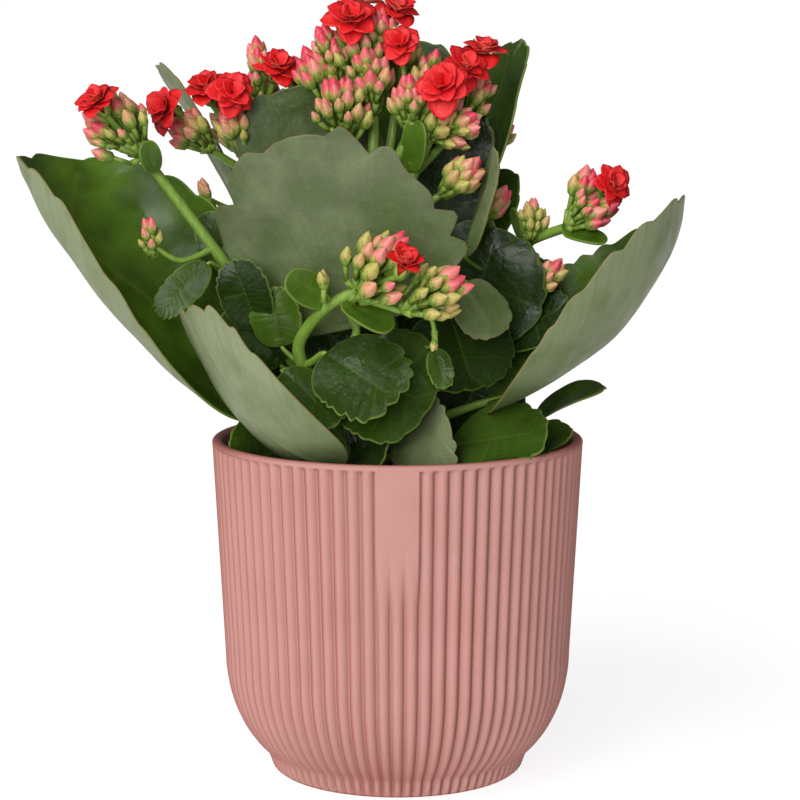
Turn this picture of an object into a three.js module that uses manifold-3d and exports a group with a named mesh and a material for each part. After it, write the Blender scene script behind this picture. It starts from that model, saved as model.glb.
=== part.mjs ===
// A flowering kalanchoe in a ribbed plastic pot.
// Millimetres, +Z up. The origin is the centre of the pot's foot and -Y is the front.
import * as THREE from "three";
import { mergeVertices } from "three/addons/utils/BufferGeometryUtils.js";
import Module from "manifold-3d";

const wasm = await Module();
wasm.setup();

// ---------------------------------------------------------------- driving dimensions

const POT_HEIGHT = 127;
const RIM_RADIUS = 70;
const FOOT_RADIUS = 47.5;
const FOOT_HEIGHT = 7;
const FOOT_TOP_RADIUS = 50;
const BOWL_TOP = 45; // the height where the round bowl turns into the straight side
const BOWL_RADIUS = 65.6;
const BOWL_SWEEP = 33.6; // the bowl ellipse's horizontal half axis
const WALL = 3.8;
const FLOOR = 4;
const RIM_ROUND = 1.6;
const RIBS = 80;
const RIB_DEPTH = 0.9;
const RIBS_TOP = 125; // the rim's plain lip is above it
const PLAIN_RIBS = 3; // ribs left out of the plain tongue at the front
const TONGUE_END = 76; // below this height the tongue's ribs are back
const TONGUE_FADE = 14;

const SOIL_TOP = 115;
const SOIL_ROUGHNESS = 1.1;
const CLEARANCE = 0.3; // gap between neighbouring pieces

const LEAF_THICKNESS = 1.8;
const PETIOLE_RADIUS = 1.9;
const LOBE_DEPTH = 0.055; // share of the blade's size that a scallop's notch cuts in
const BUD_LENGTH = 8;
const BUD_RADIUS = 2.9;
const BUD_ROOT = 2; // how deep a bud's root is sunk
const BUD_SPLAY = 0.45; // how far the outermost buds lean out
const PETALS = 5; // in each of a bloom's two whorls
const PETAL_THICKNESS = 0.8;

const COLOURS = {
  pot: [0xc9958a, 0.75],
  soil: [0x2b211b, 0.95],
  stem: [0x6f9440, 0.5],
  leaf: [0x3f5f2a, 0.4],
  spray: [0x9fae63, 0.5],
  bloom: [0xc8181c, 0.45],
};

// ---------------------------------------------------------------- solids from points

const UP = new THREE.Vector3(0, 0, 1);
const at = (p) => new THREE.Vector3(...p);
const smooth = (low, high, x) => THREE.MathUtils.smoothstep(x, low, high);

// A closed solid from three.js geometry whose shared corners are merged.
function solidOf(geometry) {
  const bare = new THREE.BufferGeometry();
  bare.setAttribute("position", geometry.getAttribute("position"));
  bare.setIndex(geometry.index);
  const merged = mergeVertices(bare, 1e-4);
  const corners = merged.index.array;
  const kept = [];
  for (let i = 0; i < corners.length; i += 3) {
    const [a, b, c] = corners.slice(i, i + 3);
    if (a !== b && b !== c && c !== a) kept.push(a, b, c);
  }
  const make = (triangles) =>
    new wasm.Manifold(
      new wasm.Mesh({
        numProp: 3,
        vertProperties: merged.attributes.position.array,
        triVerts: new Uint32Array(triangles),
      }),
    );
  const made = make(kept);
  return made.volume() > 0 ? made : make(kept.reverse());
}

function geometryOf(points, triangles) {
  return new THREE.BufferGeometry()
    .setAttribute("position", new THREE.Float32BufferAttribute(points.flatMap((p) => p.toArray()), 3))
    .setIndex(triangles);
}

// A skin through rings of equal count, closed by a fan at each end.
function loft(rings) {
  const sides = rings[0].length;
  const triangles = [];
  for (let r = 0; r + 1 < rings.length; r++) {
    for (let i = 0; i < sides; i++) {
      const a = r * sides + i;
      const b = r * sides + ((i + 1) % sides);
      triangles.push(a, b, b + sides, a, b + sides, a + sides);
    }
  }
  const last = (rings.length - 1) * sides;
  for (let i = 1; i + 1 < sides; i++) {
    triangles.push(0, i + 1, i, last, last + i, last + i + 1);
  }
  return solidOf(geometryOf(rings.flat(), triangles));
}

function ring(centre, along, radius, sides, turn = 0) {
  const seed = Math.abs(along.z) < 0.9 ? UP : new THREE.Vector3(1, 0, 0);
  const side = new THREE.Vector3().crossVectors(along, seed).normalize();
  const up = new THREE.Vector3().crossVectors(side, along).normalize();
  return Array.from({ length: sides }, (_, i) => {
    const angle = turn + (i * 2 * Math.PI) / sides;
    return centre
      .clone()
      .addScaledVector(side, radius * Math.cos(angle))
      .addScaledVector(up, radius * Math.sin(angle));
  });
}

const union = (solids) => wasm.Manifold.union(solids);

// ---------------------------------------------------------------- pot and soil

function outerRadius(z) {
  if (z <= FOOT_HEIGHT) {
    return THREE.MathUtils.lerp(FOOT_RADIUS, FOOT_TOP_RADIUS, z / FOOT_HEIGHT);
  }
  if (z < BOWL_TOP) {
    const share = (BOWL_TOP - z) / BOWL_TOP;
    return BOWL_RADIUS - BOWL_SWEEP * (1 - Math.sqrt(1 - share * share));
  }
  return THREE.MathUtils.mapLinear(z, BOWL_TOP, POT_HEIGHT, BOWL_RADIUS, RIM_RADIUS);
}

// 0 on a rib's crest and 1 in the groove beside it, apart from the plain tongue.
function groove(angle, z) {
  const pitches = (angle * RIBS) / (2 * Math.PI);
  const wave = 0.5 - 0.5 * Math.cos(2 * Math.PI * pitches);
  const inTongue = Math.abs(pitches) < PLAIN_RIBS / 2 - 0.25;
  return wave * (inTongue ? 1 - smooth(TONGUE_END, TONGUE_END + TONGUE_FADE, z) : 1);
}

// Stands a lathe of [radius, height] points on the foot, its seam at the front.
function turned(profile, segments) {
  const points = profile.map(([r, z]) => new THREE.Vector2(r, z));
  return new THREE.LatheGeometry(points, segments).rotateX(Math.PI / 2);
}

function pot() {
  const heights = [0, FOOT_HEIGHT, 15, 26, 40, TONGUE_END, TONGUE_END + TONGUE_FADE, RIBS_TOP - 1, RIBS_TOP];
  const outside = turned(
    [
      [0, 0],
      ...heights.map((z) => [outerRadius(z), z]),
      [RIM_RADIUS - RIM_ROUND, POT_HEIGHT],
      [0, POT_HEIGHT],
    ],
    2 * RIBS,
  );
  const place = outside.getAttribute("position");
  for (let i = 0; i < place.count; i++) {
    const [x, y, z] = [place.getX(i), place.getY(i), place.getZ(i)];
    if (x === 0 || z > RIBS_TOP - 0.5) continue;
    const shrink = 1 - (RIB_DEPTH * groove(Math.atan2(x, -y), z)) / Math.hypot(x, y);
    place.setXY(i, x * shrink, y * shrink);
  }
  return solidOf(outside).subtract(solidOf(hollow(0, POT_HEIGHT + 1)));
}

// The pot's inside, up to the given height, drawn in by a gap.
function hollow(gap, top, segments = 40) {
  const heights = [FLOOR + gap, 17, 32, top];
  const profile = heights.map((z) => [outerRadius(z) - WALL - gap, z]);
  return turned([[0, FLOOR + gap], ...profile, [0, top]], segments);
}

function soil(holes) {
  const gap = 0.5;
  const heights = [FLOOR + gap, 17, 32];
  const wall = outerRadius(SOIL_TOP) - WALL - gap;
  const lump = turned(
    [
      [0, FLOOR + gap],
      ...heights.map((z) => [outerRadius(z) - WALL - gap, z]),
      [wall, SOIL_TOP - 1],
      [wall * 0.75, SOIL_TOP],
      [wall * 0.4, SOIL_TOP + 2],
      [0, SOIL_TOP + 3],
    ],
    24,
  );
  const place = lump.getAttribute("position");
  for (let i = 0; i < place.count; i++) {
    const [x, y, z] = [place.getX(i), place.getY(i), place.getZ(i)];
    if (z < SOIL_TOP - 0.5) continue;
    const bumps = Math.sin(x * 0.31 + 1) * Math.cos(y * 0.27) + 0.5 * Math.sin(x * 0.13 - y * 0.21);
    place.setZ(i, z + SOIL_ROUGHNESS * bumps);
  }
  return solidOf(lump).subtract(union(holes));
}

// ---------------------------------------------------------------- leaves

// The blade as a surface: u runs from the petiole's end (0) to the tip (1), v across it (-1 to 1).
// The midrib bows off the straight line from foot to tip, and each half rises by `fold` degrees.
function bladeSurface(leaf) {
  const foot = at(leaf.foot);
  const tip = at(leaf.tip);
  const middle = foot.clone().lerp(tip, 0.5).addScaledVector(at(leaf.bow ?? [0, 0, 0]), 2);
  const midrib = new THREE.QuadraticBezierCurve3(foot, middle, tip);
  const neck = leaf.neck ?? 0.14;
  const fold = THREE.MathUtils.degToRad(Math.max(leaf.fold ?? 12, 1));
  const twist = THREE.MathUtils.degToRad(leaf.twist ?? 0);
  const face = at(leaf.face).normalize();
  return (u, v, half) => {
    const s = neck + (1 - neck) * u;
    const centre = midrib.getPoint(Math.max(s, 0));
    const along = midrib.getTangent(THREE.MathUtils.clamp(s, 0, 1));
    const up = face.clone().addScaledVector(along, -face.dot(along)).normalize();
    up.applyAxisAngle(along, twist * s);
    const across = new THREE.Vector3().crossVectors(up, along);
    const bend = fold * Math.abs(v);
    return centre
      .addScaledVector(across, (Math.sign(v) * half * Math.sin(bend)) / fold)
      .addScaledVector(up, (half * (1 - Math.cos(bend))) / fold);
  };
}

// Where the margin is at step `share` from base (0) to tip (1), as [u, v], with its scallops.
function marginAt(share, leaf) {
  const angle = Math.PI * share;
  const plump = leaf.plump ?? 0.75;
  const broadest = leaf.broadest ?? 0;
  let u = 0.5 - 0.5 * Math.cos(angle);
  let v = Math.pow(Math.sin(angle), plump) * (1 - broadest * Math.cos(angle));
  const scallop = Math.abs(Math.sin(Math.PI * (lobesOf(leaf) + 0.5) * share));
  const depth = (leaf.lobeDepth ?? LOBE_DEPTH) * smooth(0.1, 0.4, share);
  const keep = 1 - depth * (1 - scallop);
  return [0.5 + (u - 0.5) * keep, Math.max(v, 0) * keep];
}

const lobesOf = (leaf) => leaf.lobes ?? 6;

// A thin closed blade on its petiole, split alike on both faces.
function leafSolid(leaf, grow = 0) {
  const surface = bladeSurface(leaf);
  const columns = leaf.columns ?? 1;
  const steps = 2 * lobesOf(leaf) + 1;
  const neck = leaf.neck ?? 0.14;
  const half = leaf.width / 2 + grow;
  const petiole = PETIOLE_RADIUS / half;
  const rows = [{ u: -neck / (1 - neck), v: petiole, thick: 3.4 }];
  for (let k = 0; k <= steps; k++) {
    const [u, v] = marginAt(k / steps, leaf);
    const thick = THREE.MathUtils.lerp(3.4, LEAF_THICKNESS, smooth(0, 0.2, k / steps));
    rows.push({ u, v: k === 0 ? petiole : k === steps ? 0 : Math.max(v, petiole), thick });
  }
  const width = 2 * columns + 1;
  const top = [];
  const bottom = [];
  for (const row of rows) {
    for (let j = -columns; j <= columns; j++) {
      const share = j / columns;
      const v = share * row.v;
      const here = surface(row.u, v, half);
      const step = 0.01;
      const ahead = surface(row.u + step, v, half).sub(surface(row.u - step, v, half));
      const aside = surface(row.u, v + step, half).sub(surface(row.u, v - step, half));
      const normal = ahead.cross(aside).normalize();
      const thick = row.thick * (1 - 0.5 * Math.abs(share)) + 2 * grow;
      top.push(here.clone().addScaledVector(normal, thick / 2));
      bottom.push(here.clone().addScaledVector(normal, -thick / 2));
    }
  }
  const below = top.length;
  const triangles = [];
  const quad = (a, b, c, d) => triangles.push(a, b, c, a, c, d);
  for (let r = 0; r + 1 < rows.length; r++) {
    for (let j = 0; j + 1 < width; j++) {
      const a = r * width + j;
      quad(a, a + 1, a + 1 + width, a + width);
      triangles.push(a + below, a + 1 + width + below, a + 1 + below);
      triangles.push(a + below, a + width + below, a + 1 + width + below);
    }
    const left = r * width;
    const right = left + width - 1;
    quad(left, left + width, left + width + below, left + below);
    quad(right, right + below, right + width + below, right + width);
  }
  for (let j = 0; j + 1 < width; j++) {
    quad(j, j + below, j + 1 + below, j + 1);
  }
  return solidOf(geometryOf([...top, ...bottom], triangles));
}

// ---------------------------------------------------------------- stems and flowers

// A round stem through the given points, its radius running from the first to the last.
function stemSolid(points, [first, last], grow = 0, sides = 6, steps = points.length * 2) {
  const curve = new THREE.CatmullRomCurve3(points.map(at));
  const rings = [];
  for (let i = 0; i <= steps; i++) {
    const t = i / steps;
    rings.push(ring(curve.getPoint(t), curve.getTangent(t), THREE.MathUtils.lerp(first, last, t) + grow, sides));
  }
  return loft(rings);
}

// A plump bud, pointed at its tip and at its sunk root.
function budSolid({ base, tip, size }, grow, sides = 4) {
  const along = tip.clone().sub(base).normalize();
  const turn = base.x + base.y;
  return loft([
    ring(base.clone().addScaledVector(along, -BUD_ROOT - grow), along, 0, sides, turn),
    ring(base.clone().lerp(tip, 0.5), along, BUD_RADIUS * size + 1.4 * grow, sides, turn),
    ring(tip.clone().addScaledVector(along, grow), along, 0, sides, turn),
  ]);
}

const GOLDEN_ANGLE = Math.PI * (3 - Math.sqrt(5));

// Where a cyme's buds stand: spread evenly over a dome whose top is the crown.
function budPlaces({ neck, crown, radius, count, dome = 0.7 * radius, size = 1, turn = 0 }) {
  const top = at(crown);
  const axis = top.clone().sub(at(neck)).normalize();
  const side = new THREE.Vector3().crossVectors(axis, new THREE.Vector3(0, 1, 0.2)).normalize();
  return Array.from({ length: count }, (_, i) => {
    const out = Math.sqrt((i + 0.4) / count);
    const spread = side.clone().applyAxisAngle(axis, i * GOLDEN_ANGLE + turn);
    const tip = top
      .clone()
      .addScaledVector(spread, radius * out)
      .addScaledVector(axis, -dome * out * out);
    const along = axis.clone().addScaledVector(spread, BUD_SPLAY * out).normalize();
    const grown = size * (0.85 + 0.3 * Math.abs(Math.sin(i * 2.4)));
    return { tip, base: tip.clone().addScaledVector(along, -BUD_LENGTH * grown), size: grown };
  });
}

// The tight mass of bud stalks that the buds of a cyme stand out of.
function cymeCore({ neck, crown, radius, dome = 0.7 * radius, size = 1 }, grow) {
  const foot = at(neck);
  const top = at(crown);
  const axis = top.clone().sub(foot).normalize();
  const below = (depth) => top.clone().addScaledVector(axis, -depth * size);
  const wide = Math.max(radius - 0.55 * BUD_LENGTH * size, 0.9);
  return loft([
    ring(foot, axis, 1.6 * size + grow, 4),
    ring(below(dome / size + 0.75 * BUD_LENGTH), axis, wide + grow, 4),
    ring(below(0.75 * BUD_LENGTH), axis, 0, 4),
  ]);
}

function cymeSolids(cyme, flowers, grow) {
  const free = ({ tip }) => flowers.every(({ centre, radius }) => tip.distanceTo(at(centre)) > 0.8 * radius);
  return [cymeCore(cyme, grow), ...budPlaces(cyme).filter(free).map((bud) => budSolid(bud, grow))];
}

// A flowering spray: stalks, the cymes they carry, the stalks of its open flowers, and bracts.
function spraySolid(spray, grow = 0) {
  const necks = spray.cymes.map(({ neck }) => neck);
  return union([
    ...spray.stalks.map(({ points, radii }) => stemSolid(points, radii, grow, 4, points.length)),
    ...spray.cymes.flatMap((cyme) => cymeSolids(cyme, spray.flowers, grow)),
    ...spray.flowers.map((flower) => stemSolid([necks[flower.cyme], tubeEnd(flower)], [1.1, 1.3], grow, 3, 1)),
    ...(spray.bracts ?? []).map((bract) => leafSolid({ lobes: 1, lobeDepth: 0, neck: 0.05, ...bract }, grow)),
  ]);
}

const TUBE_LENGTH = 5;
const tubeEnd = ({ centre, axis }) => at(centre).addScaledVector(at(axis).normalize(), -TUBE_LENGTH).toArray();

// A double bloom as one skin: up the tube, out and back over the outer whorl of pointed petals,
// over the inner whorl whose petals stand in its gaps, and up to the closed heart.
function bloomSolid({ centre, axis, radius, turn = 0 }, grow = 0) {
  const up = at(axis).normalize();
  const side = new THREE.Vector3().crossVectors(up, new THREE.Vector3(0.3, 1, 0.1)).normalize();
  const star = (tip, gap, tipLift, gapLift, shift) =>
    Array.from({ length: 2 * PETALS }, (_, i) => {
      const [r, lift] = (i + shift) % 2 ? [gap, gapLift] : [tip, tipLift];
      const uneven = 1 + 0.08 * Math.sin(2.3 * i + radius + turn);
      return at(centre)
        .addScaledVector(side.clone().applyAxisAngle(up, (i * Math.PI) / PETALS + turn), r * radius * uneven)
        .addScaledVector(up, lift);
    });
  const thin = PETAL_THICKNESS / radius;
  const more = grow / radius;
  return loft([
    star(0.11 + more, 0.11 + more, -TUBE_LENGTH, -TUBE_LENGTH, 0),
    star(0.18 + more, 0.18 + more, -1 - grow, -1 - grow, 0),
    star(1 + more, 0.6 + more, 0.22 * radius - grow, -grow, 0),
    star(1 - thin + more, 0.6 - thin + more, 0.22 * radius + PETAL_THICKNESS + grow, PETAL_THICKNESS + grow, 0),
    star(0.3 + more, 0.3 + more, 1.4 + grow, 1.4 + grow, 0),
    star(0.75 + more, 0.48 + more, 0.55 * radius - grow, 0.25 * radius - grow, 1),
    star(0.75 - thin + more, 0.48 - thin + more, 0.55 * radius + 0.6 + grow, 0.25 * radius + 0.7 + grow, 1),
    star(0.2, 0.2, 0.3 * radius + grow, 0.3 * radius + grow, 1),
    star(0, 0, 0.6 * radius + grow, 0.6 * radius + grow, 0),
  ]);
}

// ---------------------------------------------------------------- where everything grows

const STEMS = {
  stem_middle: { points: [[4, 0, 99], [2, -4, 130], [-4, -8, 175], [-10, -9, 211]], radii: [4.4, 3] },
  stem_rear: { points: [[2, 20, 99], [0, 22, 140], [-8, 22, 180], [-16, 21, 206]], radii: [4.2, 2.8] },
  stem_left: { points: [[-14, -14, 99], [-21, -18, 132], [-42, -29, 165], [-61, -27, 192]], radii: [3.8, 2.6] },
  stem_front: { points: [[-10, -22, 99], [-22, -30, 130], [-34, -38, 158]], radii: [3.8, 2.8] },
  stem_right: { points: [[24, 6, 99], [31, 12, 145], [37, 12, 175], [40, 10, 190]], radii: [3.8, 2.6] },
  stem_back: { points: [[6, 40, 99], [12, 52, 140], [16, 60, 180]], radii: [3.8, 2.6] },
};

// Each leaf runs from foot to tip; `face` is where its upper side looks, `bow` bends the midrib.
const LEAVES = {
  leaf_left_large: {
    foot: [-25, -8, 143], tip: [-137, -25, 234], width: 94, face: [0.93, -0.25, -0.28], fold: 79,
    bow: [-16, -6, -3.5], plump: 0.9, neck: 0.08, twist: 9, columns: 2, lobes: 8,
  },
  leaf_right_large: {
    foot: [12, -6, 136], tip: [105, -7, 216], width: 96, face: [-0.9, -0.05, 0.43], fold: 72,
    bow: [17, -12, -11], plump: 0.9, columns: 2, lobes: 8,
  },
  leaf_centre_large: {
    foot: [-12, -30, 160], tip: [-38, -44, 242], width: 92, face: [0.15, 0.95, 0.25], fold: 16,
    plump: 0.58, broadest: -0.3, columns: 2, lobes: 7, lobeDepth: 0.09,
  },
  leaf_front_left: {
    foot: [-7, -44, 119], tip: [-71, -61, 184], width: 46, face: [0.75, 0.57, 0.33], fold: 29,
    bow: [-8, -2, -13], plump: 0.66, columns: 2, lobes: 6,
  },
  leaf_upper_left: {
    foot: [-29, -2, 200], tip: [-41, -6, 259], width: 62, face: [-0.15, 0.97, 0.15], fold: 10, lobes: 6,
    plump: 0.5, broadest: -0.09,
  },
  leaf_upper_right: {
    foot: [18, 22, 190], tip: [45, 22, 277], width: 42, face: [-0.75, -0.6, 0.3], fold: 34, lobes: 5, plump: 1.3,
  },
  leaf_top_behind: {
    foot: [4, 40, 196], tip: [8, 44, 276], width: 44, face: [-0.1, -0.95, 0.2], fold: 10, lobes: 4,
  },
  leaf_left_tall: {
    foot: [-50, 20, 192], tip: [-90, 32, 268], width: 30, face: [0.95, 0.2, 0.3], fold: 15, lobes: 4,
  },
  leaf_right_sliver: {
    foot: [24, -14, 190], tip: [37, -14, 236], width: 20, face: [-0.9, -0.4, 0.3], fold: 15, lobes: 4,
  },
  leaf_right_behind: {
    foot: [30, 24, 190], tip: [42, 30, 227], width: 22, face: [-0.5, -0.8, 0.2], fold: 15, lobes: 3,
  },
  leaf_right_dark: {
    foot: [22, 0, 158], tip: [38, -5, 206], width: 52, face: [-0.1, -0.95, 0.3], fold: 12, lobes: 5,
  },
  leaf_right_round: {
    foot: [42, 5, 166], tip: [51, 4, 196], width: 30, face: [0.1, -0.9, 0.4], fold: 10, lobes: 4,
  },
  leaf_right_low: {
    foot: [14, -28, 126], tip: [54, -42, 135], width: 36, face: [0.1, -0.55, 0.8], fold: 14, lobes: 5,
  },
  leaf_right_pointed: {
    foot: [48, 12, 130], tip: [78, 6, 147], width: 24, face: [-0.3, -0.3, 0.9], fold: 25, lobes: 3,
  },
  leaf_rim_right: {
    foot: [48, -14, 122], tip: [64, -8, 133], width: 16, face: [0, -0.4, 0.9], fold: 10, lobes: 3,
  },
  leaf_front_rosette: {
    foot: [-30, -44, 166], tip: [0, -63, 149], width: 36, face: [-0.16, -0.88, 0.44], fold: 11, lobes: 6,
    plump: 0.73, broadest: 0.09,
  },
  leaf_front_right: {
    foot: [-22, -36, 159], tip: [12, -47, 145], width: 48, face: [0.1, -0.85, 0.5], fold: 8, lobes: 6,
  },
  leaf_front_pale: {
    foot: [-6, -31, 122], tip: [20, -42, 138], width: 36, face: [0.2, 0.85, 0.5], fold: 15, lobes: 4,
  },
  leaf_centre_right: {
    foot: [17, -14, 181], tip: [28, -28, 148], width: 42, face: [0.3, -0.85, 0.4], fold: 10, lobes: 6,
  },
  leaf_centre_small: {
    foot: [20, -20, 184], tip: [36, -30, 170], width: 24, face: [0.3, -0.8, 0.5], fold: 10, lobes: 4,
  },
  leaf_left_inner: {
    foot: [-60, -19, 182], tip: [-70, -19, 213], width: 16, face: [-0.2, -0.95, 0.2], fold: 15, lobes: 4,
  },
  leaf_left_serrated: {
    foot: [-68, -32, 195], tip: [-85, -42, 178], width: 22, face: [-0.2, -0.8, 0.6], fold: 10, lobes: 5,
  },
  leaf_left_dark: {
    foot: [-40, -18, 156], tip: [-54, -18, 189], width: 25, face: [0, -0.95, 0.3], fold: 10, lobes: 4,
  },
  leaf_middle_left: {
    foot: [-18, 9, 126], tip: [-28, 14, 172], width: 52, face: [0, -0.95, 0.3], fold: 10, lobes: 3,
  },
  leaf_rim_left: {
    foot: [-46, -10, 118], tip: [-61, -20, 132], width: 20, face: [0.1, -0.8, 0.5], fold: 10, lobes: 3,
  },
  leaf_left_mid: {
    foot: [-40, -30, 154], tip: [-59, -34, 181], width: 26, face: [-0.2, -0.9, 0.4], fold: 10, lobes: 4,
  },
  leaf_left_bright: {
    foot: [-41, -38, 162], tip: [-46, -38, 187], width: 20, face: [-0.3, -0.9, 0.3], fold: 10, lobes: 5,
  },
  leaf_left_slant: {
    foot: [-44, -44, 160], tip: [-21, -58, 140], width: 20, face: [0.2, -0.8, 0.6], fold: 10, lobes: 4,
  },
  leaf_back_left: {
    foot: [-12, 34, 140], tip: [-72, 66, 196], width: 66, face: [0.4, -0.5, 0.8], fold: 30, lobes: 5,
  },
  leaf_back_large: {
    foot: [8, 64, 152], tip: [16, 106, 212], width: 62, face: [0, -0.8, 0.6], fold: 26, lobes: 5,
  },
  leaf_back_right: {
    foot: [26, 34, 140], tip: [82, 58, 184], width: 60, face: [-0.4, -0.4, 0.8], fold: 30, lobes: 4,
  },
  leaf_middle_right: {
    foot: [22, 22, 126], tip: [30, 33, 168], width: 48, face: [0, -0.95, 0.3], fold: 10, lobes: 3,
  },
};

// Flower stalks with their cymes of buds; a cyme's neck is where its bud stalks part.
const SPRAYS = {
  spray_left: {
    stalks: [
      { points: [[-61.5, -27, 192.7], [-68, -28, 202], [-91, -30, 233]], radii: [2.4, 1.9] },
      { points: [[-67, -28, 200], [-78, -34, 196], [-88, -37, 202]], radii: [1.3, 0.9] },
    ],
    cymes: [
      { neck: [-91, -30, 233], crown: [-105, -32, 253], radius: 11, count: 13 },
      { neck: [-88, -36, 202], crown: [-89, -37, 211], radius: 4, count: 4, size: 0.7 },
    ],
    bracts: [{ foot: [-91, -30, 230], tip: [-89, -30, 240], width: 9, face: [0.6, -0.7, 0.2] }],
  },
  spray_upper_left: {
    stalks: [
      { points: [[-17, 21, 207], [-40, 14, 216], [-69, 2, 234]], radii: [2.2, 1.5] },
      { points: [[-35, 16, 214], [-50, 10, 226], [-60, 6, 238]], radii: [1.8, 1.4] },
      { points: [[-17, 20, 207], [-42, 13, 232], [-51, 8, 247]], radii: [2, 1.4] },
      { points: [[-17, 20, 207], [-22, 14, 230], [-28, 10, 248]], radii: [2.2, 1.6] },
    ],
    cymes: [
      { neck: [-69, 2, 234], crown: [-82, -5, 246], radius: 8, count: 6 },
      { neck: [-60, 6, 238], crown: [-67, 3, 254], radius: 9, count: 6 },
      { neck: [-51, 8, 247], crown: [-51, 8, 266], radius: 10, count: 7 },
      { neck: [-28, 10, 248], crown: [-36, 9, 268], radius: 11, count: 8 },
    ],
  },
  spray_top: {
    stalks: [
      { points: [[-10, -9, 213], [-15, -10, 226], [-20, -10, 243]], radii: [2.4, 1.9] },
      { points: [[-10, -9, 213], [-9, -6, 230], [-9, -3, 247]], radii: [2.6, 2.1] },
      { points: [[-10, -9, 213], [-4, 0, 230], [-1, 4, 247]], radii: [2.2, 1.6] },
      { points: [[-10, -9, 213], [0, -9, 232], [5, -10, 243]], radii: [2.2, 1.6] },
    ],
    cymes: [
      { neck: [-20, -10, 243], crown: [-20, -14, 260], radius: 11, count: 10 },
      { neck: [-9, -3, 247], crown: [-16, -2, 277], radius: 13, count: 11 },
      { neck: [-1, 4, 247], crown: [3, 6, 276], radius: 9, count: 6 },
      { neck: [5, -10, 243], crown: [3, -14, 260], radius: 8, count: 6 },
    ],
  },
  spray_top_right: {
    stalks: [
      { points: [[-6, -10, 208], [5, -8, 224], [13, -6, 242]], radii: [2.4, 1.8] },
      { points: [[4, -8, 224], [16, 0, 236], [25, 4, 247]], radii: [1.8, 1.4] },
      { points: [[-3, -9, 212], [8, -14, 214], [18, -13, 220]], radii: [1.7, 1.2] },
    ],
    cymes: [
      { neck: [13, -6, 242], crown: [19, -8, 258], radius: 9, count: 6 },
      { neck: [13, -6, 240], crown: [28, -19, 243], radius: 6, count: 4 },
      { neck: [25, 4, 247], crown: [33, 4, 263], radius: 7, count: 5 },
      { neck: [18, -13, 220], crown: [27, -17, 230], radius: 6, count: 5 },
    ],
    bracts: [{ foot: [5, -10, 226], tip: [7, -15, 246], width: 11, face: [-0.4, -0.8, 0.3] }],
  },
  spray_right: {
    stalks: [
      { points: [[40, 10, 191], [49, 4, 200], [62, -6, 206]], radii: [2.4, 1.8] },
      { points: [[49, 4, 199], [50, 1, 202], [50, 0, 205]], radii: [1.3, 1.1] },
      { points: [[40, 9, 192], [37, 7, 202], [34, 4, 210]], radii: [1.5, 1.1] },
      { points: [[49, 4, 199], [54, -3, 190], [56, -5, 185]], radii: [1.4, 1.1] },
    ],
    cymes: [
      { neck: [62, -6, 206], crown: [71, -8, 221], radius: 8, count: 6 },
      { neck: [62, -6, 206], crown: [76, -10, 213], radius: 7, count: 6 },
      { neck: [50, 0, 204], crown: [51, -2, 216], radius: 6, count: 5, size: 0.8 },
      { neck: [34, 4, 210], crown: [41, 2, 219], radius: 4, count: 3 },
      { neck: [55, -5, 186], crown: [62, -9, 193], radius: 5, count: 4 },
    ],
    bracts: [
      { foot: [61, -6, 205], tip: [77, -14, 202], width: 9, face: [0, -0.6, 0.8] },
      { foot: [47, 4, 200], tip: [43, 2, 213], width: 6, face: [-0.8, -0.5, 0.3] },
    ],
  },
  spray_front: {
    stalks: [
      { points: [[-34.5, -38.5, 159], [-35, -41, 168], [-26, -48, 180], [-14, -52, 187]], radii: [2.6, 1.9] },
      { points: [[-18, -51, 185], [-8, -55, 183], [1, -56, 180]], radii: [1.6, 1.2] },
      { points: [[-23, -48, 182], [-26, -52, 186], [-26, -54, 188]], radii: [1, 0.9] },
    ],
    cymes: [
      { neck: [-14, -52, 187], crown: [-5, -60, 200], radius: 11, count: 10 },
      { neck: [1, -56, 180], crown: [15, -63, 188], radius: 9, count: 8 },
      { neck: [-26, -54, 187], crown: [-26, -55, 194], radius: 2.5, count: 2, size: 0.75 },
    ],
    bracts: [
      { foot: [-24, -48, 182], tip: [-39, -52, 192], width: 13, face: [-0.4, -0.7, 0.5] },
      { foot: [-20, -50, 184], tip: [-2, -58, 174], width: 13, face: [0.2, -0.7, 0.7] },
    ],
  },
  spray_back: {
    stalks: [
      { points: [[16, 61, 181], [14, 60, 205], [8, 57, 232]], radii: [2.4, 1.7] },
      { points: [[14, 60, 205], [26, 60, 220], [36, 56, 236]], radii: [1.8, 1.4] },
      { points: [[15, 60, 200], [-6, 62, 216], [-24, 58, 234]], radii: [1.8, 1.4] },
    ],
    cymes: [
      { neck: [8, 57, 232], crown: [4, 58, 252], radius: 12, count: 9 },
      { neck: [36, 56, 236], crown: [43, 58, 251], radius: 10, count: 7 },
      { neck: [-24, 58, 234], crown: [-32, 60, 250], radius: 10, count: 7 },
    ],
  },
};

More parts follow.
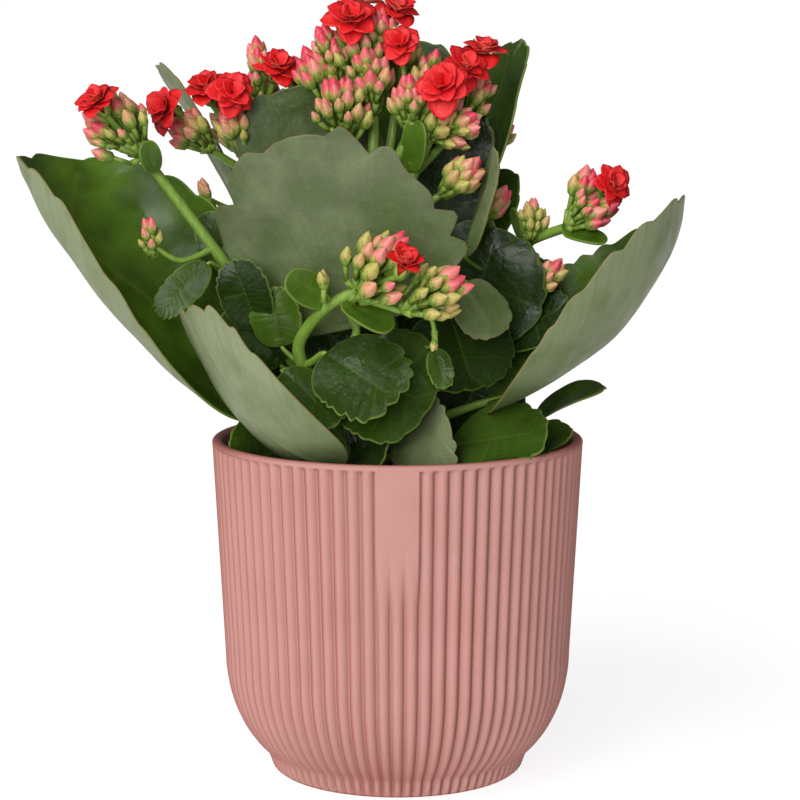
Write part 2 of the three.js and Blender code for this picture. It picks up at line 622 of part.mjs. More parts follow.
// Open flowers; `cyme` says which neck of the spray the flower's own stalk starts from.
const BLOOMS = {
  bloom_left: { spray: "spray_left", cyme: 0, flowers: [{ centre: [-110, -34, 253], axis: [-0.6, -0.3, 0.7], radius: 9 }] },
  bloom_left_side: {
    spray: "spray_upper_left", cyme: 0,
    flowers: [{ centre: [-84, -10, 250], axis: [-0.9, -0.2, 0.3], radius: 10 }],
  },
  bloom_upper_left: {
    spray: "spray_upper_left", cyme: 1,
    flowers: [
      { centre: [-70, -4, 256], axis: [-0.2, -0.5, 0.8], radius: 11 },
      { centre: [-61, -10, 255], axis: [0.2, -0.8, 0.5], radius: 11 },
    ],
  },
  bloom_upper_middle: {
    spray: "spray_upper_left", cyme: 2,
    flowers: [{ centre: [-45, 2, 264], axis: [0.2, -0.6, 0.8], radius: 11 }],
  },
  bloom_top: { spray: "spray_top", cyme: 1, flowers: [{ centre: [-17, -10, 281], axis: [0, -0.7, 0.7], radius: 12 }] },
  bloom_top_left: { spray: "spray_top", cyme: 1, flowers: [{ centre: [-15, 8, 288], axis: [0, 0.1, 1], radius: 11 }] },
  bloom_top_right: { spray: "spray_top", cyme: 2, flowers: [{ centre: [-1, 3, 285], axis: [0.3, -0.4, 0.8], radius: 11 }] },
  bloom_centre: { spray: "spray_top", cyme: 3, flowers: [{ centre: [1, -9, 273], axis: [-0.1, -0.9, 0.5], radius: 9 }] },
  bloom_right: {
    spray: "spray_top_right", cyme: 0,
    flowers: [
      { centre: [17, -17, 258], axis: [-0.2, -0.9, 0.4], radius: 12 },
      { centre: [24, -9, 264], axis: [0.4, -0.6, 0.7], radius: 11 },
    ],
  },
  bloom_right_upper: {
    spray: "spray_top_right", cyme: 2,
    flowers: [{ centre: [32, 1, 270], axis: [0.1, -0.3, 0.95], radius: 10 }],
  },
  bloom_right_side: { spray: "spray_right", cyme: 0, flowers: [{ centre: [78, -12, 222], axis: [0.8, -0.5, 0.3], radius: 9 }] },
  bloom_front: { spray: "spray_front", cyme: 0, flowers: [{ centre: [2, -67, 197], axis: [0.3, -0.5, 0.8], radius: 7 }] },
  bloom_back: {
    spray: "spray_back", cyme: 0,
    flowers: [{ centre: [4, 66, 256], axis: [0, 0.6, 0.8], radius: 11 }],
  },
};

// ---------------------------------------------------------------- assembly

const spraysWithFlowers = Object.fromEntries(
  Object.entries(SPRAYS).map(([name, spray]) => {
    const flowers = Object.values(BLOOMS)
      .filter((bloom) => bloom.spray === name)
      .flatMap((bloom) => bloom.flowers.map((flower) => ({ ...flower, cyme: bloom.cyme })));
    return [name, { ...spray, flowers }];
  }),
);

const MAKERS = {
  pot: () => pot(),
  soil: () => soil(Object.values(STEMS).map(({ points, radii }) => stemSolid(points, radii, CLEARANCE))),
};
for (const [name, { points, radii }] of Object.entries(STEMS)) {
  MAKERS[name] = (grow) => stemSolid(points, radii, grow);
}
for (const [name, leaf] of Object.entries(LEAVES)) MAKERS[name] = (grow) => leafSolid(leaf, grow);
for (const [name, bloom] of Object.entries(BLOOMS)) {
  MAKERS[name] = (grow) => union(bloom.flowers.map((flower) => bloomSolid(flower, grow)));
}
for (const [name, spray] of Object.entries(spraysWithFlowers)) MAKERS[name] = (grow) => spraySolid(spray, grow);

const apart = (a, b) => [0, 1, 2].some((k) => a.min[k] > b.max[k] || b.min[k] > a.max[k]);
const largest = (solid) => solid.decompose().sort((a, b) => b.volume() - a.volume())[0];

// Makes every piece in turn and cuts back whatever would come closer than the clearance.
function settle() {
  const settled = new Map();
  for (const [name, make] of Object.entries(MAKERS)) {
    let solid = make(0);
    for (const [other, { box, solid: placed }] of settled) {
      if (apart(solid.boundingBox(), box)) continue;
      const close = ["pot", "soil"].includes(other) ? placed : MAKERS[other](CLEARANCE);
      if (solid.intersect(close).volume() > 0) solid = solid.subtract(close);
    }
    solid = largest(solid);
    const { min, max } = solid.boundingBox();
    const box = { min: min.map((c) => c - CLEARANCE), max: max.map((c) => c + CLEARANCE) };
    settled.set(name, { solid, box });
  }
  return settled;
}

const plant = new THREE.Group();
for (const [name, { solid }] of settle()) {
  const { vertProperties, triVerts } = solid.getMesh();
  const geometry = new THREE.BufferGeometry()
    .setAttribute("position", new THREE.BufferAttribute(vertProperties, 3))
    .setIndex(new THREE.BufferAttribute(triVerts, 1));
  const [color, roughness] = COLOURS[name.split("_")[0]];
  const mesh = new THREE.Mesh(geometry, new THREE.MeshStandardMaterial({ color, roughness, flatShading: true }));
  mesh.name = name;
  plant.add(mesh);
}

export default plant;
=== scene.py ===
# %% [markdown]
# # A kalanchoe in a reeded pot
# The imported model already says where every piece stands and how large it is. This lesson gives each
# piece its living surface: scalloped fleshy leaves, heads of buds on forked stalks, double flowers
# made of loose petals, dark peat, and a matte pot with eighty fine reeds. Lengths in the tables are
# millimetres, because that is how the plant was measured, and MM turns them into Blender's metres.

# %% Load the frame
import math

import bpy
import numpy as np
from mathutils import Matrix, Vector


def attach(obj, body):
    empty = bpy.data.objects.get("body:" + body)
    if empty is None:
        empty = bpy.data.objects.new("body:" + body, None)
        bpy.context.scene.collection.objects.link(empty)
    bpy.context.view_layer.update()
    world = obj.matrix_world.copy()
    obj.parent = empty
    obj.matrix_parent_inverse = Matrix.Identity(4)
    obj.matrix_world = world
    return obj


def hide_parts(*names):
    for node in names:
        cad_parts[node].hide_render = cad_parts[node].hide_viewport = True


MM = 0.001
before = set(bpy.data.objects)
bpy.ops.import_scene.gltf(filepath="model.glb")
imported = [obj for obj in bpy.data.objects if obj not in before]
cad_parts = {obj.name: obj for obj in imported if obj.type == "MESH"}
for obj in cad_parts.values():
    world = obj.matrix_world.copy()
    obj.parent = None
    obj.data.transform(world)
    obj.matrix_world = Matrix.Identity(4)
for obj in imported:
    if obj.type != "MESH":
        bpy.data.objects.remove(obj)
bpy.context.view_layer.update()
print("pieces in the frame:", len(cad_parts))

# %% [markdown]
# ## The camera
# A product photograph is taken from a little above, with a long lens, so that the pot's rim is a
# flat ellipse. The lens is worked out from its focal length in picture pixels, and a small shift
# puts the axis where the photograph has it.

# %% Camera
PICTURE = 800
FOCAL_PIXELS = 2385.4
AXIS_PIXEL = 397.5
SENSOR = 36.0
CAMERA_PLACE = (0, -892.3, 264.7)
CAMERA_PITCH = 7.915

camera = bpy.data.objects.new("camera", bpy.data.cameras.new("camera"))
camera.data.sensor_width = SENSOR
camera.data.lens = FOCAL_PIXELS * SENSOR / PICTURE
camera.data.shift_x = (PICTURE / 2 - AXIS_PIXEL) / PICTURE
camera.location = Vector(CAMERA_PLACE) * MM
camera.rotation_euler = (math.radians(90 - CAMERA_PITCH), 0, 0)
bpy.context.scene.collection.objects.link(camera)
bpy.context.scene.camera = camera
print("lens", round(camera.data.lens, 1), "mm")

# %% [markdown]
# ## Small tools
# Colours are written as sRGB hex, the way a paint chip is, and one function turns them into the
# linear values that light is computed with. One more function adds any node with its settings and
# its links and hands back its output, so that materials and Geometry Nodes trees read as steps. A
# material starts as one shader, and `layered` lays colours over its base wherever a value says so.


# %% Colours and nodes
def colour(text):
    srgb = [int(text[i : i + 2], 16) / 255 for i in (1, 3, 5)]
    linear = [c / 12.92 if c <= 0.04045 else ((c + 0.055) / 1.055) ** 2.4 for c in srgb]
    return (*linear, 1.0)


def set_inputs(node, inputs):
    """Gives each input, by name or number, its value, the output that feeds it, or a list of outputs."""
    for key, value in inputs.items():
        if isinstance(value, (bpy.types.NodeSocket, list)):
            for source in value if isinstance(value, list) else [value]:
                node.id_data.links.new(source, node.inputs[key])
        else:
            node.inputs[key].default_value = value


def add_node(tree, kind, inputs=None, output=0, **settings):
    """Adds a node and returns one of its outputs, or all of them if `output` is None."""
    node = tree.nodes.new(kind)
    for name, value in settings.items():
        setattr(node, name, value)
    set_inputs(node, inputs or {})
    return node.outputs if output is None else node.outputs[output]


def start_material(name, roughness, ior=1.45):
    """A new material: returns it, its tree, its one shader, and the place on the object as an output."""
    material = bpy.data.materials.new(name)
    material.use_nodes = True
    tree = material.node_tree
    tree.nodes.clear()
    shader = tree.nodes.new("ShaderNodeBsdfPrincipled")
    set_inputs(shader, {"Roughness": roughness, "IOR": ior})
    add_node(tree, "ShaderNodeOutputMaterial", {"Surface": shader.outputs[0]}, output=None)
    return material, tree, shader, add_node(tree, "ShaderNodeTexCoord", output="Object")


def layered(tree, base, *layers):
    """Lays colours over a base. A layer is (value, where it starts, where it is full, share, hex)."""
    base = colour(base) if isinstance(base, str) else base
    for value, start, full, share, shade in layers:
        reach = add_node(tree, "ShaderNodeMapRange", {0: value, 1: start, 2: full, 3: 0.0, 4: share})
        inputs = {0: reach, 6: base, 7: colour(shade)}
        base = add_node(tree, "ShaderNodeMix", inputs, output=2, data_type="RGBA")
    return base


# %% [markdown]
# ## Light and floor
# The plant stands on a white light table. A large soft key light comes from high at the front left,
# which leaves the pot's right side darker, and a broad one fills the front. The room is white only
# in a band at the horizon, which the camera sees, and dim above it, so that glossy leaves show dark
# reflections with few highlights and the gaps between them fall into deep shade. Suns with a wide
# disc stand for softboxes far away. The table glows a little, as in product photography, so that
# shadows on it stay faint. It is stage, so it isn't part of the object.

# %% Studio
# Each sun: where its light comes from, its strength, and its disc in degrees.
SUNS = {"key": ((-0.45, -0.5, 0.85), 1.45, 30), "fill": ((-0.36, -1.0, 0.3), 2.85, 40)}
ROOM_TOP = 0.2
HORIZON = (0.05, 0.2)
WHITE = (1, 1, 1, 1)
TABLE_GREY = "#898989"
TABLE_GLOW = 0.84
TABLE_SIZE = 60

for name, (source, strength, disc) in SUNS.items():
    lamp = bpy.data.objects.new(name, bpy.data.lights.new(name, "SUN"))
    lamp.data.energy = strength
    lamp.data.angle = math.radians(disc)
    lamp.rotation_euler = Vector(source).to_track_quat("Z", "Y").to_euler()
    bpy.context.scene.collection.objects.link(lamp)

world = bpy.data.worlds.new("white room")
world.use_nodes = True
tree = world.node_tree
direction = add_node(tree, "ShaderNodeTexCoord")
height = add_node(tree, "ShaderNodeSeparateXYZ", {0: direction}, output=2)
inputs = {0: height, 1: HORIZON[0], 2: HORIZON[1], 3: 1.0, 4: ROOM_TOP}
bright = add_node(tree, "ShaderNodeMapRange", inputs, interpolation_type="SMOOTHSTEP")
set_inputs(tree.nodes["Background"], {"Color": WHITE, "Strength": bright})
bpy.context.scene.world = world
bpy.context.scene.view_settings.view_transform = "Standard"

bpy.ops.mesh.primitive_plane_add(size=TABLE_SIZE)
floor = bpy.context.object
floor.name = "floor"
# Opal acrylic lit from below: white all over, with no reflection of the pot.
opal, _, shader, _ = start_material("opal acrylic table", roughness=1.0)
set_inputs(shader, {"Base Color": colour(TABLE_GREY), "Specular IOR Level": 0.0})
set_inputs(shader, {"Emission Color": WHITE, "Emission Strength": TABLE_GLOW})
floor.data.materials.append(opal)
print("lights:", ", ".join(SUNS))

# %% [markdown]
# ## Geometry Nodes as a workshop
# Most of this plant is repetition: reeds round a pot, buds on a head, petals round a heart. Each of
# those is a Geometry Nodes tree with named inputs. `start_tree` opens such a tree, and `grow` runs
# one with given inputs and hands back a plain mesh, so that nothing live is left on the object.
# `place_piece` then joins what belongs together, hangs it on the root, and hides the imported node that it
# stands for.


# %% Growing a mesh from a tree
def start_tree(name, **labels):
    """Opens a tree with the inputs that are listed by kind, and with the geometry and the material."""
    tree = bpy.data.node_groups.new(name, "GeometryNodeTree")
    tree.interface.new_socket("Geometry", in_out="OUTPUT", socket_type="NodeSocketGeometry")
    for kind, names in ({"Geometry": ["Geometry"], "Material": ["Material"]} | labels).items():
        for label in names:
            tree.interface.new_socket(label, in_out="INPUT", socket_type="NodeSocket" + kind)
    return tree, add_node(tree, "NodeGroupInput", output=None)


def end_tree(tree, geometry, given):
    """Every tree ends the same way: copies made real, shaded smooth, and given their material."""
    real = add_node(tree, "GeometryNodeRealizeInstances", {"Geometry": geometry})
    smooth = add_node(tree, "GeometryNodeSetShadeSmooth", {"Geometry": real})
    inputs = {"Geometry": smooth, "Material": given["Material"]}
    skinned = add_node(tree, "GeometryNodeSetMaterial", inputs)
    add_node(tree, "NodeGroupOutput", {0: skinned}, output=None)
    return tree


def grow(tree, values, base=None):
    host = bpy.data.objects.new("host", base or bpy.data.meshes.new("nothing"))
    bpy.context.scene.collection.objects.link(host)
    maker = host.modifiers.new(tree.name, "NODES")
    maker.node_group = tree
    for socket in tree.interface.items_tree:
        if socket.in_out == "INPUT" and socket.name in values:
            maker[socket.identifier] = values[socket.name]
    depsgraph = bpy.context.evaluated_depsgraph_get()
    made = bpy.data.meshes.new_from_object(
        host.evaluated_get(depsgraph), preserve_all_data_layers=True, depsgraph=depsgraph
    )
    bpy.data.objects.remove(host)
    return made


def moved(mesh, matrix):
    mesh.transform(matrix)
    return mesh


def place_piece(name, meshes, node):
    """Joins meshes into one named piece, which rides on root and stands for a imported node."""
    objects = [bpy.data.objects.new(name, mesh) for mesh in meshes]
    for each in objects:
        bpy.context.scene.collection.objects.link(each)
    piece = objects[0]
    if len(objects) > 1:
        with bpy.context.temp_override(active_object=piece, selected_editable_objects=objects):
            bpy.ops.object.join()
    piece.name = piece.data.name = name
    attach(piece, "root")
    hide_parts(node)


print("ready to grow")

# %% [markdown]
# ## Pot plastic
# The pot is injection-moulded polypropylene in a dusty pink. Its mould was spark-eroded, so the
# surface is matte: the eye reads a broad soft highlight with no sharp reflection, a very fine grain,
# and slight clouds where the recycled pigment isn't quite even. Towards the sides, as seen, the pink
# is darkened with painted shade, so that the pot's sides and the reeds' flanks read as turning away.

# %% Moulded polypropylene
POT_PINK = "#ac7f78"
POT_PINK_DEEP = "#a1736b"
# Painted shade: the deep pink that the pot's sides are darkened towards.
POT_PAINTED_SIDE_SHADE = "#88443a"
# The real grain is finer than a picture point, so it is drawn at about a point's width.
SPARK_GRAIN = 0.35 * MM
PIGMENT_CLOUD = 18 * MM

polypropylene, tree, shader, where = start_material("sparked polypropylene", roughness=0.6, ior=1.49)
clouds, grain = (
    add_node(tree, "ShaderNodeTexNoise", {"Vector": where, "Scale": 1 / size, "Detail": detail})
    for size, detail in ((PIGMENT_CLOUD, 3), (SPARK_GRAIN, 2))
)
# Painted shade: the pink deepens towards the pot's sides as seen, standing in for surfaces turning away
# from the light.
painted_side_shade = add_node(tree, "ShaderNodeLayerWeight", {"Blend": 0.5}, output="Facing")
layers = (clouds, 0.0, 1.0, 1.0, POT_PINK), (painted_side_shade, 0.2, 1.0, 1.0, POT_PAINTED_SIDE_SHADE)
tint = layered(tree, POT_PINK_DEEP, *layers)
bump = add_node(tree, "ShaderNodeBump", {"Height": grain, "Strength": 0.25, "Distance": 0.05 * MM})
set_inputs(shader, {"Base Color": tint, "Normal": bump, "Specular IOR Level": 0.14})
print("made", polypropylene.name)

# %% [markdown]
# ## The reeded pot
# The real pot is one moulding: a narrow foot, a round bowl, a nearly straight side with eighty
# vertical reeds, a plain lip, and a plain tongue at the front where three reeds are left out. It
# could be lathed and then cut, but a rule is shorter: a profile gives radius and height, the tree
# carries it round the axis, and each column sinks by how far it is into the groove between reeds.

# %% The pot's measures
POT_HEIGHT = 127
RIM_RADIUS = 70
FOOT_RADIUS = 47.5
FOOT_HEIGHT = 7
FOOT_TOP_RADIUS = 50
BOWL_TOP = 45
BOWL_RADIUS = 65.6
BOWL_SWEEP = 33.6
WALL = 3.8
POT_FLOOR = 4
FLOOR_RING = 30
RIM_ROUND = 1.6
FOOT_ROUND = 1.0
REEDS = 80
REED_DEPTH = 2.2
REED_FLATNESS = 0.75
REEDS_TOP = 125
PLAIN_REEDS = 3
TONGUE_END = 76
TONGUE_FADE = 14
COLUMNS_PER_REED = 12


def outer_radius(z):
    if z <= FOOT_HEIGHT:
        return FOOT_RADIUS + (FOOT_TOP_RADIUS - FOOT_RADIUS) * z / FOOT_HEIGHT
    if z < BOWL_TOP:
        share = (BOWL_TOP - z) / BOWL_TOP
        return BOWL_RADIUS - BOWL_SWEEP * (1 - math.sqrt(1 - share * share))
    return BOWL_RADIUS + (RIM_RADIUS - BOWL_RADIUS) * (z - BOWL_TOP) / (POT_HEIGHT - BOWL_TOP)


def name_values(mesh, label, values, domain="POINT"):
    mesh.attributes.new(label, "FLOAT", domain).data.foreach_set("value", values)


def path_mesh(name, points, label, values):
    """An edge-only mesh through points, with one named number for each point."""
    mesh = bpy.data.meshes.new(name)
    mesh.from_pydata([Vector(p) * MM for p in points], [(i, i + 1) for i in range(len(points) - 1)], [])
    name_values(mesh, label, values)
    return mesh


# %% The pot's profile
def quarter_round(radius, height, start):
    turns = np.radians(np.linspace(start, start + 90, 5))
    return [(radius + RIM_ROUND * math.cos(a), 0, height + RIM_ROUND * math.sin(a)) for a in turns]


# Heights of the points on the outside, closest together where the bowl bends and the reeds end.
side = [*np.linspace(FOOT_ROUND, FOOT_HEIGHT, 4), *np.linspace(8.5, BOWL_TOP, 20)]
side += [*np.linspace(BOWL_TOP + 8, REEDS_TOP - 1.2, 10), REEDS_TOP - 0.6, REEDS_TOP]
outside = [(outer_radius(z), 0, z) for z in side]
lip = quarter_round(RIM_RADIUS - RIM_ROUND, POT_HEIGHT - RIM_ROUND, 0)
lip += quarter_round(RIM_RADIUS - WALL + RIM_ROUND, POT_HEIGHT - RIM_ROUND, 90)
inside = [(outer_radius(z) - WALL, 0, z) for z in [*np.linspace(118, 40, 8), 30, 20, 12, 7, POT_FLOOR]]
profile = [(0, 0, 0), (FLOOR_RING, 0, 0), (FOOT_RADIUS - FOOT_ROUND, 0, 0), *outside, *lip, *inside]
profile += [(FLOOR_RING, 0, POT_FLOOR), (0, 0, POT_FLOOR)]
relief = [1.0 if point in outside and point[2] < REEDS_TOP - 0.3 else 0.0 for point in profile]
print("profile points:", len(profile))

# %% The tree that turns a profile
tree, given = start_tree(
    "turned form",
    Int=["Rows", "Columns"],
    Float=["Reeds", "Reed depth", "Plain reeds", "Tongue end", "Tongue fade"],
)
here = add_node(tree, "GeometryNodeInputPosition")
sheet = add_node(tree, "GeometryNodeMeshGrid", {0: 1.0, 1: 1.0, 2: given["Columns"], 3: given["Rows"]})
turn, level, _ = add_node(tree, "ShaderNodeSeparateXYZ", {0: here}, output=None)
last = add_node(tree, "ShaderNodeMath", {0: given["Rows"], 1: 1}, operation="SUBTRACT")
level = add_node(tree, "ShaderNodeMath", {0: level, 1: 0.5}, operation="ADD")
level = add_node(tree, "ShaderNodeMath", {0: level, 1: last}, operation="MULTIPLY")
row = add_node(tree, "FunctionNodeFloatToInt", {0: level}, rounding_mode="ROUND")
relief_here = add_node(tree, "GeometryNodeInputNamedAttribute", {"Name": "relief"})
spot, reeded = (
    add_node(
        tree,
        "GeometryNodeSampleIndex",
        {"Geometry": given["Geometry"], "Value": value, "Index": row},
        data_type=kind,
    )
    for value, kind in ((here, "FLOAT_VECTOR"), (relief_here, "FLOAT"))
)
wide, _, height = add_node(tree, "ShaderNodeSeparateXYZ", {0: spot}, output=None)

# %% The reeds, as a rule
# Across one reed the crest is a flattened cosine: broad and softly convex, with a narrow groove.
pitches = add_node(tree, "ShaderNodeMath", {0: turn, 1: given["Reeds"]}, operation="MULTIPLY")
crest = pitches
steps = ("MULTIPLY", math.pi), ("COSINE", 0.0), ("ABSOLUTE", 0.0), ("POWER", REED_FLATNESS)
for operation, number in steps:
    crest = add_node(tree, "ShaderNodeMath", {0: crest, 1: number}, operation=operation)
aside = add_node(tree, "ShaderNodeMath", {0: pitches}, operation="ABSOLUTE")
half_tongue = add_node(tree, "ShaderNodeMath", {0: given["Plain reeds"], 1: 0.5}, operation="MULTIPLY")
in_tongue = add_node(tree, "ShaderNodeMath", {0: aside, 1: half_tongue}, operation="LESS_THAN")
tongue_end, tongue_fade = given["Tongue end"], given["Tongue fade"]
fade_top = add_node(tree, "ShaderNodeMath", {0: tongue_end, 1: tongue_fade}, operation="ADD")
inputs = {0: height, 1: tongue_end, 2: fade_top}
plain = add_node(tree, "ShaderNodeMapRange", inputs, interpolation_type="SMOOTHSTEP")
plain = add_node(tree, "ShaderNodeMath", {0: plain, 1: in_tongue}, operation="MULTIPLY")
sink = given["Reed depth"]
for kept in (crest, plain):
    cut = add_node(tree, "ShaderNodeMath", {0: 1.0, 1: kept}, operation="SUBTRACT")
    sink = add_node(tree, "ShaderNodeMath", {0: sink, 1: cut}, operation="MULTIPLY")
sink = add_node(tree, "ShaderNodeMath", {0: sink, 1: reeded}, operation="MULTIPLY")
wide = add_node(tree, "ShaderNodeMath", {0: wide, 1: sink}, operation="SUBTRACT")

# %% Closing the turned form
SEAM_REACH = 0.005 * MM
angle = add_node(tree, "ShaderNodeMath", {0: turn, 1: 2 * math.pi}, operation="MULTIPLY")
sine, cosine = (add_node(tree, "ShaderNodeMath", {0: angle}, operation=o) for o in ("SINE", "COSINE"))
around = add_node(tree, "ShaderNodeCombineXYZ", {0: sine, 1: cosine})
around = add_node(tree, "ShaderNodeVectorMath", {0: around, 1: (1, -1, 1)}, operation="MULTIPLY")
around = add_node(tree, "ShaderNodeVectorMath", {0: around, 3: wide}, operation="SCALE")
raised = add_node(tree, "ShaderNodeCombineXYZ", {2: height})
put = add_node(tree, "ShaderNodeVectorMath", {0: around, 1: raised}, operation="ADD")
formed = add_node(tree, "GeometryNodeSetPosition", {"Geometry": sheet, "Position": put})
formed = add_node(tree, "GeometryNodeMergeByDistance", {"Geometry": formed, "Distance": SEAM_REACH})
turning = end_tree(tree, formed, given)

values = {"Rows": len(profile), "Columns": REEDS * COLUMNS_PER_REED + 1, "Material": polypropylene}
values |= {"Reeds": float(REEDS), "Reed depth": REED_DEPTH * MM, "Plain reeds": float(PLAIN_REEDS)}
values |= {"Tongue end": TONGUE_END * MM, "Tongue fade": TONGUE_FADE * MM}
pot_mesh = grow(turning, values, path_mesh("pot profile", profile, "relief", relief))
place_piece("pot_moulding", [pot_mesh], "pot")
print("pot faces:", len(pot_mesh.polygons))

# %% [markdown]
# ## Peat
# The pot is filled with dark peat, rough and crumbly, hardly lit under the leaves. The lump is
# turned like the pot, its top is heaved by noise, and crumbs a few millimetres across lie on it.

# %% Moist peat
PEAT_DARK = "#17110c"
PEAT_LIGHT = "#3b2d22"
PEAT_FIBRE = 2.5 * MM
peat, tree, shader, where = start_material("moist peat", roughness=0.9)
fibres = add_node(tree, "ShaderNodeTexNoise", {"Vector": where, "Scale": 1 / PEAT_FIBRE, "Detail": 6})
tint = layered(tree, PEAT_DARK, (fibres, 0.0, 1.0, 1.0, PEAT_LIGHT))
bump = add_node(tree, "ShaderNodeBump", {"Height": fibres, "Strength": 0.8, "Distance": 1 * MM})
set_inputs(shader, {"Base Color": tint, "Normal": bump})

# %% The soil lump
SOIL_GAP = 0.5
SOIL_FOOT = 4.5
SOIL_COLUMNS = 97
soil = [(0, 0, SOIL_FOOT)]
soil += [(outer_radius(z) - WALL - SOIL_GAP, 0, z) for z in (SOIL_FOOT, 10, 17, 25, 32, 60, 90, 112)]
soil += [(61, 0, 114.3), (56, 0, 115), (45, 0, 115.5), (34, 0, 116), (22, 0, 116.5), (0, 0, 117)]
values = {"Rows": len(soil), "Columns": SOIL_COLUMNS, "Material": peat}
soil_mesh = grow(turning, values, path_mesh("soil profile", soil, "relief", [0.0] * len(soil)))

# %% Small shapes that trees copy
shapes = []


def copied_shape(name, rings, points, place):
    """A small closed shape of rings. `place(t, a)` says where the point at height t and angle a is."""
    verts = [place(r / (rings - 1), 2 * math.pi * i / points) for r in range(rings) for i in range(points)]
    faces = [tuple(reversed(range(points))), tuple(range((rings - 1) * points, rings * points))]
    for r in range(rings - 1):
        for i in range(points):
            a, b = r * points + i, r * points + (i + 1) % points
            faces.append((a, b, b + points, a + points))
    mesh = bpy.data.meshes.new(name)
    mesh.from_pydata(verts, [], faces)
    shapes.append(bpy.data.objects.new(name, mesh))
    return shapes[-1]


def crumb_point(t, a):
    wide = math.sin(math.pi * (0.12 + 0.76 * t)) * (0.5 + 0.11 * math.sin(3 * a + 5 * t))
    return (wide * math.cos(a), wide * math.sin(a), t - 0.5)


crumb = copied_shape("crumb", 4, 5, crumb_point)

# %% Scattering crumbs
LUMP = 9 * MM
HEAVE = 6 * MM
CRUMB_SIZE = 2.2 * MM
SMALLEST_CRUMB = 0.4
LARGEST_CRUMB = 1.3
CRUMBS_PER_SQUARE_METRE = 150000.0
SOIL_SHOULDER = 112.5 * MM
CRUMB_SEED = 4
FULL_TURNS = (6.3, 6.3, 6.3)
tree, given = start_tree(
    "crumbs on a lump", Int=["Seed"], Float=["Heave", "Crumb", "Density", "Above"], Object=["Shape"]
)
seed = given["Seed"]
here = add_node(tree, "GeometryNodeInputPosition")
height = add_node(tree, "ShaderNodeSeparateXYZ", {0: here}, output=2)
on_top = add_node(tree, "ShaderNodeMath", {0: height, 1: given["Above"]}, operation="GREATER_THAN")
heave = add_node(tree, "ShaderNodeTexNoise", {"Scale": 1 / LUMP, "Detail": 2})
heave = add_node(tree, "ShaderNodeMath", {0: heave, 1: 0.5}, operation="SUBTRACT")
heave = add_node(tree, "ShaderNodeMath", {0: heave, 1: given["Heave"]}, operation="MULTIPLY")
heave = add_node(tree, "ShaderNodeCombineXYZ", {2: heave})
inputs = {"Geometry": given["Geometry"], "Selection": on_top, "Offset": heave}
lump = add_node(tree, "GeometryNodeSetPosition", inputs)
inputs = {"Mesh": lump, "Selection": on_top, "Density": given["Density"], "Seed": seed}
strewn = add_node(tree, "GeometryNodeDistributePointsOnFaces", inputs)
inputs = {"Min": (0, 0, 0), "Max": FULL_TURNS, "Seed": seed}
spin = add_node(tree, "FunctionNodeRandomValue", inputs, data_type="FLOAT_VECTOR")
inputs = {2: SMALLEST_CRUMB, 3: LARGEST_CRUMB, "Seed": seed}
size = add_node(tree, "FunctionNodeRandomValue", inputs, output=1, data_type="FLOAT")
size = add_node(tree, "ShaderNodeMath", {0: size, 1: given["Crumb"]}, operation="MULTIPLY")
shape = add_node(tree, "GeometryNodeObjectInfo", {"Object": given["Shape"]}, output="Geometry")
spin = add_node(tree, "FunctionNodeEulerToRotation", {0: spin})
inputs = {"Points": strewn, "Instance": shape, "Rotation": spin, "Scale": size}
crumbs = add_node(tree, "GeometryNodeInstanceOnPoints", inputs)
both = add_node(tree, "GeometryNodeJoinGeometry", {0: [lump, crumbs]})
strewing = end_tree(tree, both, given)
values = {"Heave": HEAVE, "Crumb": CRUMB_SIZE, "Density": CRUMBS_PER_SQUARE_METRE, "Seed": CRUMB_SEED}
values |= {"Above": SOIL_SHOULDER, "Shape": crumb, "Material": peat}
soil_mesh = grow(strewing, values, soil_mesh)
place_piece("peat", [soil_mesh], "soil")
print("peat faces:", len(soil_mesh.polygons))

# %% [markdown]
# ## Stems and flower stalks
# A kalanchoe's stem is round, juicy and yellow-green, with fine streaks. Stems and stalks are tubes
# along a path, so one tree makes them all: the path's points are joined by a smooth spline, and a
# number on each point gives the tube's radius there.

# %% Juicy stem skin
# Smooth skin over wet tissue: a soft gloss, fine lengthwise streaks, and a little light let through.
STEM_LIGHT = "#7b9a3c"
STEM_DEEP = "#4f6c22"
STEM_STREAK = 1.2 * MM
STREAK_SQUEEZE = (1, 1, 0.12)
stem_skin, tree, shader, where = start_material("juicy stem skin", roughness=0.42, ior=1.4)
where = add_node(tree, "ShaderNodeMapping", {"Vector": where, "Scale": STREAK_SQUEEZE})
streaks = add_node(tree, "ShaderNodeTexNoise", {"Vector": where, "Scale": 1 / STEM_STREAK, "Detail": 3})
tint = layered(tree, STEM_DEEP, (streaks, 0.0, 1.0, 1.0, STEM_LIGHT))
bump = add_node(tree, "ShaderNodeBump", {"Height": streaks, "Strength": 0.3, "Distance": 0.2 * MM})
set_inputs(shader, {"Base Color": tint, "Normal": bump})
set_inputs(shader, {"Subsurface Weight": 0.12, "Subsurface Scale": 1 * MM})

# %% The tree that draws tubes
tree, given = start_tree("tube along a path", Int=["Sides"], Float=["Step"])
path = add_node(tree, "GeometryNodeMeshToCurve", {"Mesh": given["Geometry"]})
path = add_node(tree, "GeometryNodeCurveSplineType", {"Curve": path}, spline_type="CATMULL_ROM")
path = add_node(tree, "GeometryNodeResampleCurve", {"Curve": path, "Length": given["Step"]}, mode="LENGTH")
loop = add_node(tree, "GeometryNodeCurvePrimitiveCircle", {"Resolution": given["Sides"], "Radius": 1.0})
thick = add_node(tree, "GeometryNodeInputNamedAttribute", {"Name": "thick"})
inputs = {"Curve": path, "Profile Curve": loop, "Scale": thick, "Fill Caps": True}
tubing = end_tree(tree, add_node(tree, "GeometryNodeCurveToMesh", inputs), given)


def tube_mesh(points, radii, sides=12, step=1.5, material=stem_skin):
    thick = [r * MM for r in np.linspace(*radii, len(points))]
    values = {"Sides": sides, "Step": step * MM, "Material": material}
    return grow(tubing, values, path_mesh("path", points, "thick", thick))


